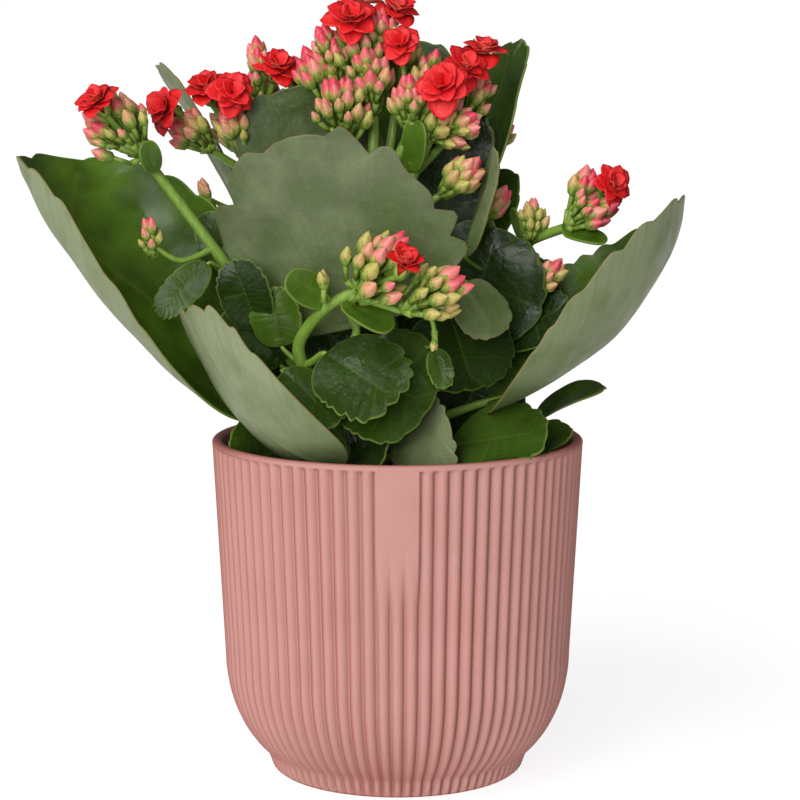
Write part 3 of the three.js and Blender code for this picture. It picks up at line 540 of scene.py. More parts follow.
# %% Where the stems grow
# Each stem: the points it passes, and its radius at the bottom and at the top.
STEMS = {
    "stem_middle": ([(4, 0, 99), (2, -4, 130), (-4, -8, 175), (-10, -9, 211)], (4.4, 3)),
    "stem_rear": ([(2, 20, 99), (0, 22, 140), (-8, 22, 180), (-16, 21, 206)], (4.2, 2.8)),
    "stem_left": ([(-14, -14, 99), (-21, -18, 132), (-42, -29, 165), (-61, -27, 192)], (3.8, 2.6)),
    "stem_front": ([(-10, -22, 99), (-22, -30, 130), (-34, -38, 158)], (3.8, 2.8)),
    "stem_right": ([(24, 6, 99), (31, 12, 145), (37, 12, 175), (40, 10, 190)], (3.8, 2.6)),
    "stem_back": ([(6, 40, 99), (12, 52, 140), (16, 60, 180)], (3.8, 2.6)),
}
for name, (points, radii) in STEMS.items():
    place_piece(name + "_skin", [tube_mesh(points, radii, sides=20)], name)
print("stems:", len(STEMS))

# %% [markdown]
# ## Leaf flesh
# A kalanchoe leaf is a thick, juicy blade. Its upper side is dark and glossy, with shallow swellings
# between veins that fan out from the midrib, so the eye reads broken, crawling highlights. Its
# underside is pale, dull and grey-green, with fine streaks. The margin is thin: light comes through
# it bright green, and sun turns it rusty. One skin does for both sides, because numbers stored on
# the mesh say which side a face is on, how far it is from the margin, where the veins are, and how
# pale the leaf is.
# That paleness is partly each leaf's own tone and partly painted shade: leaves that sit in shade are given
# a darker tone.

# %% Leaf skin
UPPER_DEEP = "#16260a"
UPPER_LIGHT = "#56781d"
UNDER_DEEP = "#2b3916"
UNDER_PALE = "#868e6e"
FAN_FOOT = 12 * MM
FAN_REACH = 40 * MM
STREAK = 0.9 * MM
STREAK_LENGTH = 0.03
PATCH = 16 * MM
MOTTLE = 1.1 * MM
SPOT = 7 * MM
PUCKER = 3.5 * MM

leaf_skin, tree, shader, where = start_material("succulent leaf skin", roughness=0.3, ior=1.42)
# tone_and_shade is partly each leaf's own colour and partly painted shade: leaves in shade get a darker
# value.
under, tone_and_shade, from_rim, vein = (
    add_node(tree, "ShaderNodeAttribute", output="Fac", attribute_name=name)
    for name in ("under", "tone_and_shade", "rim", "vein")
)
flat = add_node(tree, "ShaderNodeUVMap", uv_map="flat")
across, along, _ = add_node(tree, "ShaderNodeSeparateXYZ", {0: flat}, output=None)
up_from_foot = add_node(tree, "ShaderNodeMath", {0: along, 1: FAN_FOOT}, operation="ADD")
fan = add_node(tree, "ShaderNodeMath", {0: across, 1: up_from_foot}, operation="ARCTAN2")
fan = add_node(tree, "ShaderNodeMath", {0: fan, 1: FAN_REACH}, operation="MULTIPLY")
lines = add_node(tree, "ShaderNodeCombineXYZ", {0: fan, 1: up_from_foot})
lines = add_node(tree, "ShaderNodeMapping", {"Vector": lines, "Scale": (1, STREAK_LENGTH, 1)})
noises = (lines, STREAK, 3), (where, PATCH, 4), (where, MOTTLE, 2), (where, SPOT, 1), (flat, PUCKER, 3)
streaks, patches, mottles, spots, puckers = (
    add_node(tree, "ShaderNodeTexNoise", {"Vector": at, "Scale": 1 / size, "Detail": detail})
    for at, size, detail in noises
)

# %% Layers of leaf colour
upper = layered(
    tree,
    UPPER_DEEP,
    (tone_and_shade, 0.0, 1.0, 1.0, UPPER_LIGHT),
    (patches, 0.62, 0.36, 0.5, "#131f07"),
    (vein, 0.5, 1.0, 0.13, "#7f9a45"),
    (mottles, 0.45, 0.8, 0.12, "#4c6a24"),
    (from_rim, 0.7 * MM, 0.15 * MM, 0.45, "#6f8c30"),
)
below = layered(
    tree,
    UNDER_DEEP,
    (tone_and_shade, 0.0, 1.0, 1.0, UNDER_PALE),
    (along, 50 * MM, 5 * MM, 0.75, "#455625"),
    (patches, 0.42, 0.66, 0.32, "#78835f"),
    (patches, 0.5, 0.3, 0.4, "#4a5c26"),
    (streaks, 0.45, 0.7, 0.25, "#42522a"),
    (mottles, 0.5, 0.8, 0.15, "#7d8768"),
    (from_rim, 0.6 * MM, 0.15 * MM, 0.5, "#7a5a3a"),
)
skin = add_node(tree, "ShaderNodeMix", {0: under, 6: upper, 7: below}, output=2, data_type="RGBA")
skin = layered(tree, skin, (spots, 0.78, 0.86, 0.5, "#7a4a2c"))
gloss = add_node(tree, "ShaderNodeMapRange", {0: spots, 1: 0.3, 2: 0.7, 3: 0.2, 4: 0.42})
dull = add_node(tree, "ShaderNodeMath", {0: under, 1: 0.22}, operation="MULTIPLY")
gloss = add_node(tree, "ShaderNodeMath", {0: gloss, 1: dull}, operation="ADD")
# The large pale blades are smoother than the dark ones in the plant's heart.
crispness = add_node(tree, "ShaderNodeMapRange", {0: tone_and_shade, 1: 0.2, 2: 0.6, 3: 0.55, 4: 0.15})
bump = add_node(tree, "ShaderNodeBump", {"Height": puckers, "Strength": crispness, "Distance": 0.7 * MM})
set_inputs(shader, {"Base Color": skin, "Roughness": gloss, "Normal": bump})
set_inputs(shader, {"Specular IOR Level": 0.25, "Subsurface Weight": 0.06, "Subsurface Scale": 1 * MM})
print("made", leaf_skin.name)

# %% [markdown]
# ## The blade
# A leaf's outline is a fan of rounded teeth with sharp notches between them, so a plain grid of rows
# would tear at every notch. Instead rays run from the midrib out to the margin, side by side, right
# round the blade, as its veins do. Each ray is laid on the same bent and folded surface that the
# packed leaf has; the margin is made round and thin and waves a little, the tip curls back, and the
# flesh swells between the veins.

# %% Blade measures
# Millimetres, except for shares of a blade's length or width.
EDGE_THICKNESS = 1.0
PETIOLE_RADIUS = 1.9
PETIOLE_DROP = 6
PETIOLE_SAG = 0.3
# Where a petiole runs into its blade, and how deep below the blade's middle it lies there.
PETIOLE_PLACES = (-0.03, 0.05, 0.12)
PETIOLE_DEPTHS = (0.3, 0.9, 1.2)
RIB_HEIGHT = 0.7
RIB_WIDTH = 1.6
# The stretch of the midrib that rays start from.
MIDRIB_START = 0.14
MIDRIB_SPAN = 0.7
STEPS_PER_TOOTH = 9
TOOTH_LEAN = 2.2
INNER_COLUMNS = 17
EDGE_STEPS = (1.2, 0.6, 0.25, 0.06, 0.0)
BILLOW = 0.5
WAVES = 2
SWELLING = 0.08
# Just beside the midrib, because on it a blade has no side.
MIDDLE = 1e-6
# What a leaf is like where its line in the table doesn't say otherwise.
USUAL = {"bow": (0, 0, 0), "neck": 0.14, "fold": 12, "twist": 0, "plump": 0.75, "broadest": 0}
USUAL |= {"teeth": 9, "tooth_depth": 0.05, "smooth_base": (0.25, 0.5)}
USUAL |= {"wave": 0.04, "curl": 0.05, "thickness": 1.8}


def leaf(foot, tip, width, face, tone_and_shade, **special):
    told = {"foot": foot, "tip": tip, "width": width, "face": face, "tone_and_shade": tone_and_shade, "pale": tone_and_shade}
    return USUAL | told | special


def unit(vectors):
    return vectors / np.linalg.norm(vectors, axis=-1, keepdims=True)


def smooth(low, high, x):
    t = np.clip((x - low) / (high - low), 0, 1)
    return t * t * (3 - 2 * t)


def blade_point(blade, u, v):
    """Points on a blade, and its upward directions. u runs from base to tip, v across from -1 to 1."""
    foot, tip, face, bow = (np.array(blade[name], float) for name in ("foot", "tip", "face", "bow"))
    middle = (foot + tip) / 2 + 2 * bow
    neck, fold = blade["neck"], math.radians(blade["fold"])
    u, v = np.asarray(u, float)[..., None], np.asarray(v, float)[..., None]
    s = neck + (1 - neck) * u
    centre = (1 - s) ** 2 * foot + 2 * s * (1 - s) * middle + s * s * tip
    along = unit(2 * (1 - s) * (middle - foot) + 2 * s * (tip - middle))
    up = unit(unit(face) - along * (along @ unit(face))[..., None])
    turn = math.radians(blade["twist"]) * s
    up = up * np.cos(turn) + np.cross(along, up) * np.sin(turn)
    across = np.cross(up, along) * np.sign(v)
    bend = fold * np.abs(v)
    place = centre + blade["width"] / 2 / fold * (across * np.sin(bend) + up * (1 - np.cos(bend)))
    return place, unit(up * np.cos(bend) - across * np.sin(bend))


def margin(blade, share, phase):
    """Where the margin is, as u and v, at `share` of the way from base to tip, with its teeth."""
    angle = math.pi * share
    u = 0.5 - 0.5 * np.cos(angle)
    v = np.sin(angle).clip(0) ** blade["plump"] * (1 - blade["broadest"] * np.cos(angle))
    within = phase - np.floor(phase)
    tooth = np.sin(math.pi * within**TOOTH_LEAN).clip(0) ** 0.6
    uneven = 0.6 + 0.8 * np.abs(np.sin(7.3 * np.floor(phase) + blade["width"]))
    depth = blade["tooth_depth"] * smooth(*blade["smooth_base"], share) * uneven
    keep = 1 - depth * (1 - tooth)
    return 0.5 + (u - 0.5) * keep, v * keep


# %% Laying the rays
def leaf_mesh(name, blade):
    half = blade["width"] / 2
    length = np.linalg.norm(np.subtract(blade["tip"], blade["foot"])) * (1 - blade["neck"])
    seed = sum(map(ord, name))
    count = blade["teeth"] * STEPS_PER_TOOTH
    share = np.concatenate([np.linspace(0, 1, count + 1), np.linspace(1, 0, count + 1)[1:-1]])
    side = np.array([1.0] * (count + 1) + [-1.0] * (count - 1))
    drift = 0.35 * np.sin(9 * share + seed + side) + 0.18 * np.sin(23 * share + seed)
    phase = (blade["teeth"] + 0.5) * share + drift * np.sin(math.pi * share)
    out_u, out_v = margin(blade, share, phase)
    out_v = np.maximum(out_v, np.where(share < 0.5, PETIOLE_RADIUS / half, 0)) * (share < 1)
    mid_u = MIDRIB_START + MIDRIB_SPAN * share
    ray = np.hypot((out_u - mid_u) * length, out_v * half)[:, None]
    inner = np.linspace(0, 1, INNER_COLUMNS) * (1 - np.minimum(EDGE_STEPS[0] / ray, 0.5))
    t = np.concatenate([inner, 1 - np.minimum(np.array(EDGE_STEPS[1:]) / ray, 0.4)], axis=1)
    u = mid_u[:, None] * (1 - t) + out_u[:, None] * t
    v = side[:, None] * out_v[:, None] * t
    v[:, 0] = v[share >= 1] = MIDDLE
    place, normal = blade_point(blade, u, v)
    from_rim = (1 - t) * ray
    wave = np.sin(WAVES * 2 * math.pi * share + seed + side)[:, None] * t**2
    wave = wave * blade["wave"] * half - blade["curl"] * length * smooth(0.5, 1.1, u) ** 2
    vein = 1 - np.abs(np.sin(math.pi * phase))[:, None] ** 0.5
    vein = np.where(t > 0.02, vein, 1.0) * smooth(0, 0.25, 1 - t) * np.ones_like(t)
    swell = SWELLING * (1 - vein) * np.sqrt(np.clip(4 * t * (1 - t), 0, 1))
    billow = np.sin(u * length / 7 + seed) * np.sin(v * half / 6 + 2 * seed) * smooth(0, 6, from_rim)
    place = place + normal * (wave + swell + BILLOW * billow)[..., None]
    thick = EDGE_THICKNESS + (blade["thickness"] - EDGE_THICKNESS) * smooth(0, 10, from_rim)
    rounded = np.sqrt(1 - (1 - np.clip(from_rim / (EDGE_THICKNESS / 2), 0, 1)) ** 2)
    rib = RIB_HEIGHT * np.exp(-((v * half / RIB_WIDTH) ** 2)) * np.clip(1 - u, 0, 1) * (from_rim > 3)
    upper = place + normal * (thick / 2 * rounded - 0.5 * rib)[..., None]
    lower = place - normal * (thick / 2 * rounded + rib)[..., None]
    flat = np.stack([v * half, u * length], axis=-1)
    tones = (blade["tone_and_shade"], blade["pale"])
    return closed_blade(name, upper, lower, {"rim": from_rim * MM, "vein": vein}, flat, tones)


def closed_blade(name, upper, lower, values, flat, tones):
    """Joins the two faces of a blade along the margin and the midrib, where rays share their points."""
    rows, columns = upper.shape[:2]
    top = np.arange(rows * columns).reshape(rows, columns)
    mirror = np.minimum(np.arange(rows), rows - np.arange(rows))
    top[:, 0] = top[mirror, 0]
    bottom = top + rows * columns
    bottom[:, -1] = top[:, -1]
    after = np.roll(np.arange(rows), -1)
    faces, under = [], []
    for sheet, side in ((top, 0.0), (bottom, 1.0)):
        a, b = sheet[:, :-1], sheet[:, 1:]
        quads = np.stack([a, a[after], b[after], b] if side == 0 else [a, b, b[after], a[after]], axis=-1)
        for quad in quads.reshape(-1, 4).tolist():
            face = list(dict.fromkeys(quad))
            if len(face) > 2:
                faces.append(face)
                under.append(side)
    used, corners = np.unique(np.concatenate([np.array(f) for f in faces]), return_inverse=True)
    starts = np.cumsum([0] + [len(face) for face in faces])
    faces = [corners[a:b].tolist() for a, b in zip(starts[:-1], starts[1:])]
    verts = np.concatenate([upper.reshape(-1, 3), lower.reshape(-1, 3)])[used] * MM
    mesh = bpy.data.meshes.new(name)
    mesh.from_pydata(verts, [], faces)
    for label, value in values.items():
        name_values(mesh, label, np.tile(value.ravel(), 2)[used])
    name_values(mesh, "tone_and_shade", np.repeat(tones, rows * columns)[used])
    name_values(mesh, "under", under, "FACE")
    flat = np.tile(flat.reshape(-1, 2), (2, 1))[used] * MM
    mesh.uv_layers.new(name="flat").data.foreach_set("uv", flat[corners].ravel())
    mesh.materials.append(leaf_skin)
    mesh.shade_smooth()
    return mesh


def stem_spot(foot):
    """The nearest place on a stem, a little below the leaf's foot, where its petiole springs from."""
    paths = [np.array(points, float) for points, _ in STEMS.values()]
    spans = [span for path in paths for span in zip(path, path[1:])]
    spots = [a + (b - a) * t for a, b in spans for t in np.linspace(0, 1, 9)]
    below = np.array(foot) - (0, 0, PETIOLE_DROP)
    return min(spots, key=lambda spot: np.linalg.norm(spot - below))


def petiole_mesh(blade):
    place, normal = blade_point(blade, PETIOLE_PLACES, np.full(3, MIDDLE))
    place = place - normal * np.array(PETIOLE_DEPTHS)[:, None]
    spot = stem_spot(blade["foot"])
    arch = (spot + place[0]) / 2 - (0, 0, PETIOLE_SAG)
    way = [tuple(p) for p in (spot, arch, *place)]
    radius = min(PETIOLE_RADIUS, 0.5 + 0.025 * blade["width"])
    return tube_mesh(way, (radius * 1.15, radius * 0.5), sides=10)


# %% Where the leaves grow
# The tone and `pale` are partly the leaf's own colour and partly painted shade: leaves that sit in shade
# are given darker ones.
# A leaf runs from foot to tip, then come its width, where its upper side looks, and how pale that
# side is. `fold` is how far its halves close, `bow` how its midrib bends, `neck` where the blade
# begins, `pale` the tone of its underside, and `smooth_base` where its teeth begin and are full.
# A young leaf also names the imported leaf that it stands beside.
LEAVES = {
    "leaf_left_large": leaf(
        (-25, -8, 143), (-137, -25, 234), 94, (0.93, -0.25, -0.28), 0.6, fold=79, teeth=8, plump=0.9,
        bow=(-16, -6, -3.5), twist=9, neck=0.08, tooth_depth=0.035, wave=0.015, curl=0, pale=0.73,
    ),
    "leaf_right_large": leaf(
        (12, -6, 136), (105, -7, 216), 96, (-0.9, -0.05, 0.43), 0.55, fold=72, plump=0.9,
        bow=(17, -12, -11), tooth_depth=0.04, wave=0.015, curl=0, pale=0.58,
    ),
    "leaf_centre_large": leaf(
        (-12, -30, 160), (-38, -44, 242), 92, (0.15, 0.95, 0.25), 0.35, fold=16, teeth=5, plump=0.58,
        broadest=-0.3, tooth_depth=0.12, smooth_base=(0.1, 0.35), wave=0.02, curl=0.02, pale=0.26,
    ),
    "leaf_front_left": leaf(
        (-7, -44, 119), (-71, -61, 184), 46, (0.75, 0.57, 0.33), 0.75, fold=29, teeth=8, plump=0.66,
        bow=(-8, -2, -13), tooth_depth=0.06, smooth_base=(0.5, 0.85), wave=0.02, curl=0.02,
    ),
    "leaf_upper_left": leaf(
        (-27, -2, 200), (-37, -6, 259), 56, (-0.15, 0.97, 0.15), 0.3, fold=10, teeth=5, plump=0.5,
        broadest=-0.09, tooth_depth=0.06, curl=0.02, pale=0.0,
    ),
    "leaf_upper_right": leaf(
        (18, 22, 190), (45, 22, 277), 42, (-0.75, -0.6, 0.3), 0.2, fold=34, teeth=6, plump=1.3,
        tooth_depth=0.03,
    ),
    "leaf_top_behind": leaf((4, 40, 196), (8, 44, 276), 44, (-0.1, -0.95, 0.2), 0.25, fold=10, teeth=6),
    "leaf_left_tall": leaf(
        (-50, 20, 192), (-90, 32, 268), 30, (0.95, 0.2, 0.3), 0.4, fold=15, teeth=6, pale=0.5,
    ),
    "leaf_right_sliver": leaf(
        (24, -14, 190), (37, -14, 236), 13, (0.9, 0.4, -0.3), 0.6, fold=15, teeth=6, pale=0.45,
    ),
    "leaf_right_behind": leaf((30, 24, 190), (42, 30, 227), 22, (-0.5, -0.8, 0.2), 0.4, fold=15, teeth=4),
    "leaf_right_dark": leaf((22, 0, 158), (38, -5, 206), 52, (-0.1, -0.95, 0.3), 0.05, teeth=8),
    "leaf_right_round": leaf((42, 5, 166), (51, 4, 196), 30, (0.1, -0.9, 0.4), 0.2, fold=10, teeth=6),
    "leaf_right_low": leaf((14, -28, 126), (54, -42, 135), 36, (0.1, -0.55, 0.8), 0.3, fold=14, teeth=8),
    "leaf_right_pointed": leaf(
        (48, 12, 130), (78, 6, 147), 18, (-0.3, -0.3, 0.9), 0.6, fold=25, teeth=3, plump=1.25,
        tooth_depth=0.02, curl=0.12,
    ),
    "leaf_rim_right": leaf((48, -14, 122), (64, -8, 133), 16, (0, -0.4, 0.9), 0.3, fold=10, teeth=4),
    "leaf_front_rosette": leaf(
        (-30, -44, 166), (0, -63, 149), 36, (0.25, -0.88, 0.38), 0.15, fold=11, plump=0.73, broadest=0.09,
        tooth_depth=0.09, smooth_base=(0.3, 0.55),
    ),
    "leaf_front_right": leaf(
        (-22, -36, 159), (12, -47, 145), 48, (0.1, -0.85, 0.5), 0.2, fold=8, teeth=8, tooth_depth=0.035,
    ),
    "leaf_front_pale": leaf(
        (-6, -31, 122), (20, -42, 138), 36, (0.1, 0.85, -0.45), 0.5, fold=15, teeth=7, tooth_depth=0.07,
        smooth_base=(0.2, 0.4), pale=0.85,
    ),
    "leaf_centre_right": leaf((17, -14, 181), (28, -28, 148), 42, (0.3, -0.85, 0.4), 0.1, fold=10),
    "leaf_centre_small": leaf(
        (22, -22, 190), (37, -30, 168), 22, (-0.3, 0.85, -0.3), 0.2, fold=10, teeth=6, pale=0.3,
    ),
    "leaf_left_inner": leaf(
        (-60, -19, 182), (-70, -19, 213), 16, (-0.2, -0.95, 0.2), 0.3, fold=15, teeth=6,
    ),
    "leaf_left_serrated": leaf(
        (-65.5, -34, 198), (-86, -43, 177), 14.5, (-0.1, -0.9, 0.4), 0.3, fold=10, teeth=10, plump=0.85,
        tooth_depth=0.07,
    ),
    "leaf_left_dark": leaf((-40, -18, 156), (-54, -18, 189), 25, (0, -0.95, 0.3), 0.05, fold=10, teeth=6),
    "leaf_middle_left": leaf((-18, 9, 126), (-28, 14, 172), 52, (0, -0.95, 0.3), 0.0, fold=10, teeth=4),
    "leaf_rim_left": leaf((-46, -10, 118), (-61, -20, 132), 20, (0.1, -0.8, 0.5), 0.3, fold=10, teeth=4),
    "leaf_left_mid": leaf((-40, -30, 154), (-59, -34, 181), 26, (-0.2, -0.9, 0.4), 0.15, fold=10, teeth=6),
    "leaf_left_bright": leaf(
        (-41, -38, 162), (-46, -38, 187), 20, (-0.3, -0.9, 0.3), 0.5, fold=10, teeth=8,
    ),
    "leaf_left_slant": leaf((-44, -44, 160), (-21, -58, 140), 20, (0.2, -0.8, 0.6), 0.2, fold=10, teeth=6),
    "leaf_back_left": leaf((-12, 34, 140), (-72, 66, 196), 66, (0.4, -0.5, 0.8), 0.35, fold=30, teeth=8),
    "leaf_back_large": leaf((8, 64, 152), (16, 106, 212), 62, (0, -0.8, 0.6), 0.35, fold=26, teeth=8),
    "leaf_back_right": leaf((26, 34, 140), (82, 58, 184), 60, (-0.4, -0.4, 0.8), 0.35, fold=30, teeth=6),
    "leaf_middle_right": leaf((22, 22, 126), (30, 33, 168), 48, (0, -0.95, 0.3), 0.0, fold=10, teeth=4),
}

# Young leaves in the plant's heart close the gaps between the large ones. Each stands in for a part
# of the imported leaf beside it.
# Most are given the darkest tone, which partly paints the shade in the gaps they fill.
YOUNG_LEAVES = {
    "young_leaf_centre": ("leaf_middle_right", leaf(
        (-4, 8, 150), (9, 6, 188), 44, (0.1, -0.9, 0.3), 0.0, thickness=1.2,
    )),
    "young_leaf_low_right": ("leaf_right_low", leaf(
        (16, 4, 122), (36, -2, 156), 44, (0.2, -0.9, 0.35), 0.05, thickness=1.2,
    )),
    "young_leaf_low_front": ("leaf_front_pale", leaf(
        (-24, -24, 118), (-3, -46, 137), 36, (0.1, -0.75, 0.65), 0.05, thickness=1.2,
    )),
    "young_leaf_rim": ("leaf_right_pointed", leaf(
        (34, 0, 124), (50, 0, 139), 18, (-0.1, -0.75, 0.6), 0.1, thickness=1.2,
    )),
    "young_leaf_left": ("leaf_left_dark", leaf(
        (-49, -36, 168), (-59, -40, 197), 20, (-0.2, -0.95, 0.2), 0.05, thickness=1.2,
    )),
    "young_leaf_under_head": ("leaf_centre_right", leaf(
        (13, -40, 167), (17, -47, 151), 10, (0.1, -0.9, 0.1), 0.35, teeth=5, tooth_depth=0.08,
        thickness=1.2,
    )),
    "young_leaf_glossy": ("leaf_right_round", leaf(
        (36, 0, 162), (64, -12, 178), 24, (-0.2, -0.75, 0.6), 0.0, thickness=1.2,
    )),
    "young_leaf_upper": ("leaf_upper_right", leaf(
        (16, 6, 188), (22, 4, 254), 36, (0, -0.95, 0.2), 0.0, teeth=5, thickness=1.2,
    )),
}

# %% Growing the leaves
for name, blade in LEAVES.items():
    place_piece(name + "_blade", [leaf_mesh(name, blade), petiole_mesh(blade)], name)
for name, (beside, blade) in YOUNG_LEAVES.items():
    place_piece(name + "_blade", [leaf_mesh(name, blade), petiole_mesh(blade)], beside)
print("leaves:", len(LEAVES) + len(YOUNG_LEAVES))

# %% [markdown]
# ## Buds, sepals and petals
# The flower heads are cymes: a stalk forks and forks again, and each fork ends in a bud. A bud is a
# pointed egg wrapped in four overlapping petals, held by four narrow sepals. It is green and hard
# when young, then cream, pink, and rose just before it opens. Petals are velvety: a deep matte red
# inside, coral where their backs show.

# %% Flower skins
BLUSH = 1.2 * MM
SEPAL_CLOUD = 3 * MM
PILE = 2.5 * MM

bud_skin, tree, shader, where = start_material("waxy bud skin", roughness=0.45)
ripe, tall, seam = (
    add_node(tree, "ShaderNodeAttribute", output="Fac", attribute_name=name)
    for name in ("ripe", "tall", "seam")
)
blush = add_node(tree, "ShaderNodeTexNoise", {"Vector": where, "Scale": 1 / BLUSH, "Detail": 2})
tint = layered(
    tree,
    "#a09c4a",
    (ripe, 0.05, 0.35, 1.0, "#cd7a70"),
    (ripe, 0.3, 0.7, 1.0, "#c42f4a"),
    (tall, 0.7, 0.45, 0.35, "#c09272"),
    (tall, 0.55, 0.25, 0.95, "#7e8e36"),
    (blush, 0.5, 0.8, 0.2, "#dcab98"),
    (seam, 0.6, 1.0, 0.6, "#a83440"),
)
set_inputs(shader, {"Base Color": tint, "Subsurface Weight": 0.1, "Subsurface Scale": 0.8 * MM})

sepal_skin, tree, shader, where = start_material("fleshy sepal skin", roughness=0.5)
tall = add_node(tree, "ShaderNodeAttribute", output="Fac", attribute_name="tall")
cloudy = add_node(tree, "ShaderNodeTexNoise", {"Vector": where, "Scale": 1 / SEPAL_CLOUD, "Detail": 2})
layers = (cloudy, 0.35, 0.7, 1.0, "#7e9236"), (tall, 0.15, 0.6, 0.6, "#a2a84e")
set_inputs(shader, {"Base Color": layered(tree, "#567222", *layers)})

petal_skin, tree, shader, where = start_material("velvety petal", roughness=0.6)
under, tall = (
    add_node(tree, "ShaderNodeAttribute", output="Fac", attribute_name=name) for name in ("under", "tall")
)
pile = add_node(tree, "ShaderNodeTexNoise", {"Vector": where, "Scale": 1 / PILE, "Detail": 3})
red = layered(
    tree,
    "#c50d12",
    (pile, 0.4, 0.7, 0.8, "#d8161a"),
    (pile, 0.62, 0.75, 0.4, "#e2604a"),
    (tall, 0.5, 0.0, 0.6, "#a5070c"),
)
coral = layered(tree, "#d6463c", (tall, 0.6, 0.0, 0.6, "#d98d76"), (pile, 0.45, 0.7, 0.5, "#e26b58"))
tint = add_node(tree, "ShaderNodeMix", {0: under, 6: red, 7: coral}, output=2, data_type="RGBA")
set_inputs(shader, {"Base Color": tint})
print("made", ", ".join(m.name for m in (bud_skin, sepal_skin, petal_skin)))

# %% Bud, sepals and rod
# Each shape is one unit long and grows along +Z, so that a tree can scale it to any bud.
BUD_FATNESS = 0.235
SEAM_TWIST = 1.4
# Each ring of the sepals: its radius, its height between the points, and how far the points rise.
SEPAL_RINGS = ((0.1, -0.14, 0), (0.26, 0.03, 0), (0.34, 0.16, 0.42), (0.29, 0.18, 0.4), (0.2, 0.05, 0))


def bud_point(t, a):
    wide = max(math.sin(math.pi * t**0.8), 0) ** 0.75 + 0.3 * (1 - t)
    wide *= BUD_FATNESS * (1 + 0.09 * abs(math.sin(2 * (a - SEAM_TWIST * t))))
    return (wide * math.cos(a), wide * math.sin(a), t)


def sepal_point(t, a):
    """A cup of four points: up the outside, over the tips, and down the inside."""
    wide, low, rise = SEPAL_RINGS[round(t * (len(SEPAL_RINGS) - 1))]
    pointed = abs(math.cos(2 * a)) ** 1.5
    wide -= 0.04 * pointed * (rise > 0)
    return (wide * math.cos(a), wide * math.sin(a), low + rise * pointed)


def rod_point(t, a):
    wide = 0.75 + 0.35 * t
    return (wide * math.cos(a), wide * math.sin(a), t)


bud_shape = copied_shape("bud", 9, 12, bud_point)
sepal_shape = copied_shape("sepals", 5, 16, sepal_point)
rod_shape = copied_shape("rod", 2, 6, rod_point)
for shape in (bud_shape, sepal_shape):
    name_values(shape.data, "tall", [max(v.co.z, 0) for v in shape.data.vertices])
turns = [2 * (math.atan2(v.co.y, v.co.x) - SEAM_TWIST * v.co.z) for v in bud_shape.data.vertices]
name_values(bud_shape.data, "seam", [1 - abs(math.sin(turn)) for turn in turns])

# %% Petal
PETAL_ROWS = 8
PETAL_COLUMNS = 5
PETAL_HALF_WIDTH = 0.45


def petal_points(side):
    """One face of a cupped, pointed petal, one unit long along +Z, with its upper side to +Y."""
    t, s = np.meshgrid(np.linspace(0, 1, PETAL_ROWS), np.linspace(-1, 1, PETAL_COLUMNS), indexing="ij")
    wide = PETAL_HALF_WIDTH * np.sin(math.pi * (0.1 + 0.9 * t**1.15)).clip(0) ** 0.6
    thick = 0.02 * (1 - s * s) * (1 - t**4) * side
    cup = 0.14 * s * s * np.sin(math.pi * t) - 0.22 * t * t
    return np.stack([wide * s, cup + thick, t], axis=-1).reshape(-1, 3)


index = np.arange(PETAL_ROWS * PETAL_COLUMNS).reshape(PETAL_ROWS, PETAL_COLUMNS)
corners = [index[:-1, :-1], index[:-1, 1:], index[1:, 1:], index[1:, :-1]]
back = np.stack(corners, axis=-1).reshape(-1, 4)
front = back[:, ::-1]
edge = set(index[0]) | set(index[-1]) | set(index[:, 0]) | set(index[:, -1])
merged = np.array([i if i in edge else i + index.size for i in range(index.size)])
petal = bpy.data.meshes.new("petal")
verts = np.concatenate([petal_points(1), petal_points(-1)])
petal.from_pydata(verts, [], np.concatenate([front, merged[back]]).tolist())
name_values(petal, "tall", verts[:, 2])
name_values(petal, "under", [0.0] * len(front) + [1.0] * len(back), "FACE")
petal_shape = bpy.data.objects.new("petal", petal)
shapes.append(petal_shape)
print("shapes to copy:", ", ".join(f"{s.name} {len(s.data.polygons)}" for s in shapes))

# %% [markdown]
# ## A head of buds
# The buds of a head stand on a dome, each turned from the last by the golden angle, which is how a
# plant packs them without rows. The inner ones are the oldest and longest. The tree places the buds
# or, with its switch on, the sepals and the forked stalks under them. It leaves room for open
# flowers: the points of its mesh are their hearts.

# %% Where the buds of a head stand
GOLDEN_ANGLE = math.pi * (3 - math.sqrt(5))
BUD_SPLAY = 0.55
FIRST_BUD = 0.4
tree, given = start_tree(
    "head of buds",
    Int=["Buds", "Seed"],
    Float=["Radius", "Dome", "Length", "Depth", "Room", "Ripeness"],
    Bool=["Green part"],
    Object=["Bud", "Sepals", "Rod"],
)
index = add_node(tree, "GeometryNodeInputIndex")
share = add_node(tree, "ShaderNodeMath", {0: index, 1: FIRST_BUD}, operation="ADD")
share = add_node(tree, "ShaderNodeMath", {0: share, 1: given["Buds"]}, operation="DIVIDE")
out = add_node(tree, "ShaderNodeMath", {0: share}, operation="SQRT")
turn = add_node(tree, "ShaderNodeMath", {0: index, 1: GOLDEN_ANGLE}, operation="MULTIPLY")
turn = add_node(tree, "ShaderNodeMath", {0: turn, 1: given["Seed"]}, operation="ADD")
cosine, sine = (add_node(tree, "ShaderNodeMath", {0: turn}, operation=o) for o in ("COSINE", "SINE"))
spread = add_node(tree, "ShaderNodeCombineXYZ", {0: cosine, 1: sine})
spread = add_node(tree, "ShaderNodeVectorMath", {0: spread, 3: out}, operation="SCALE")

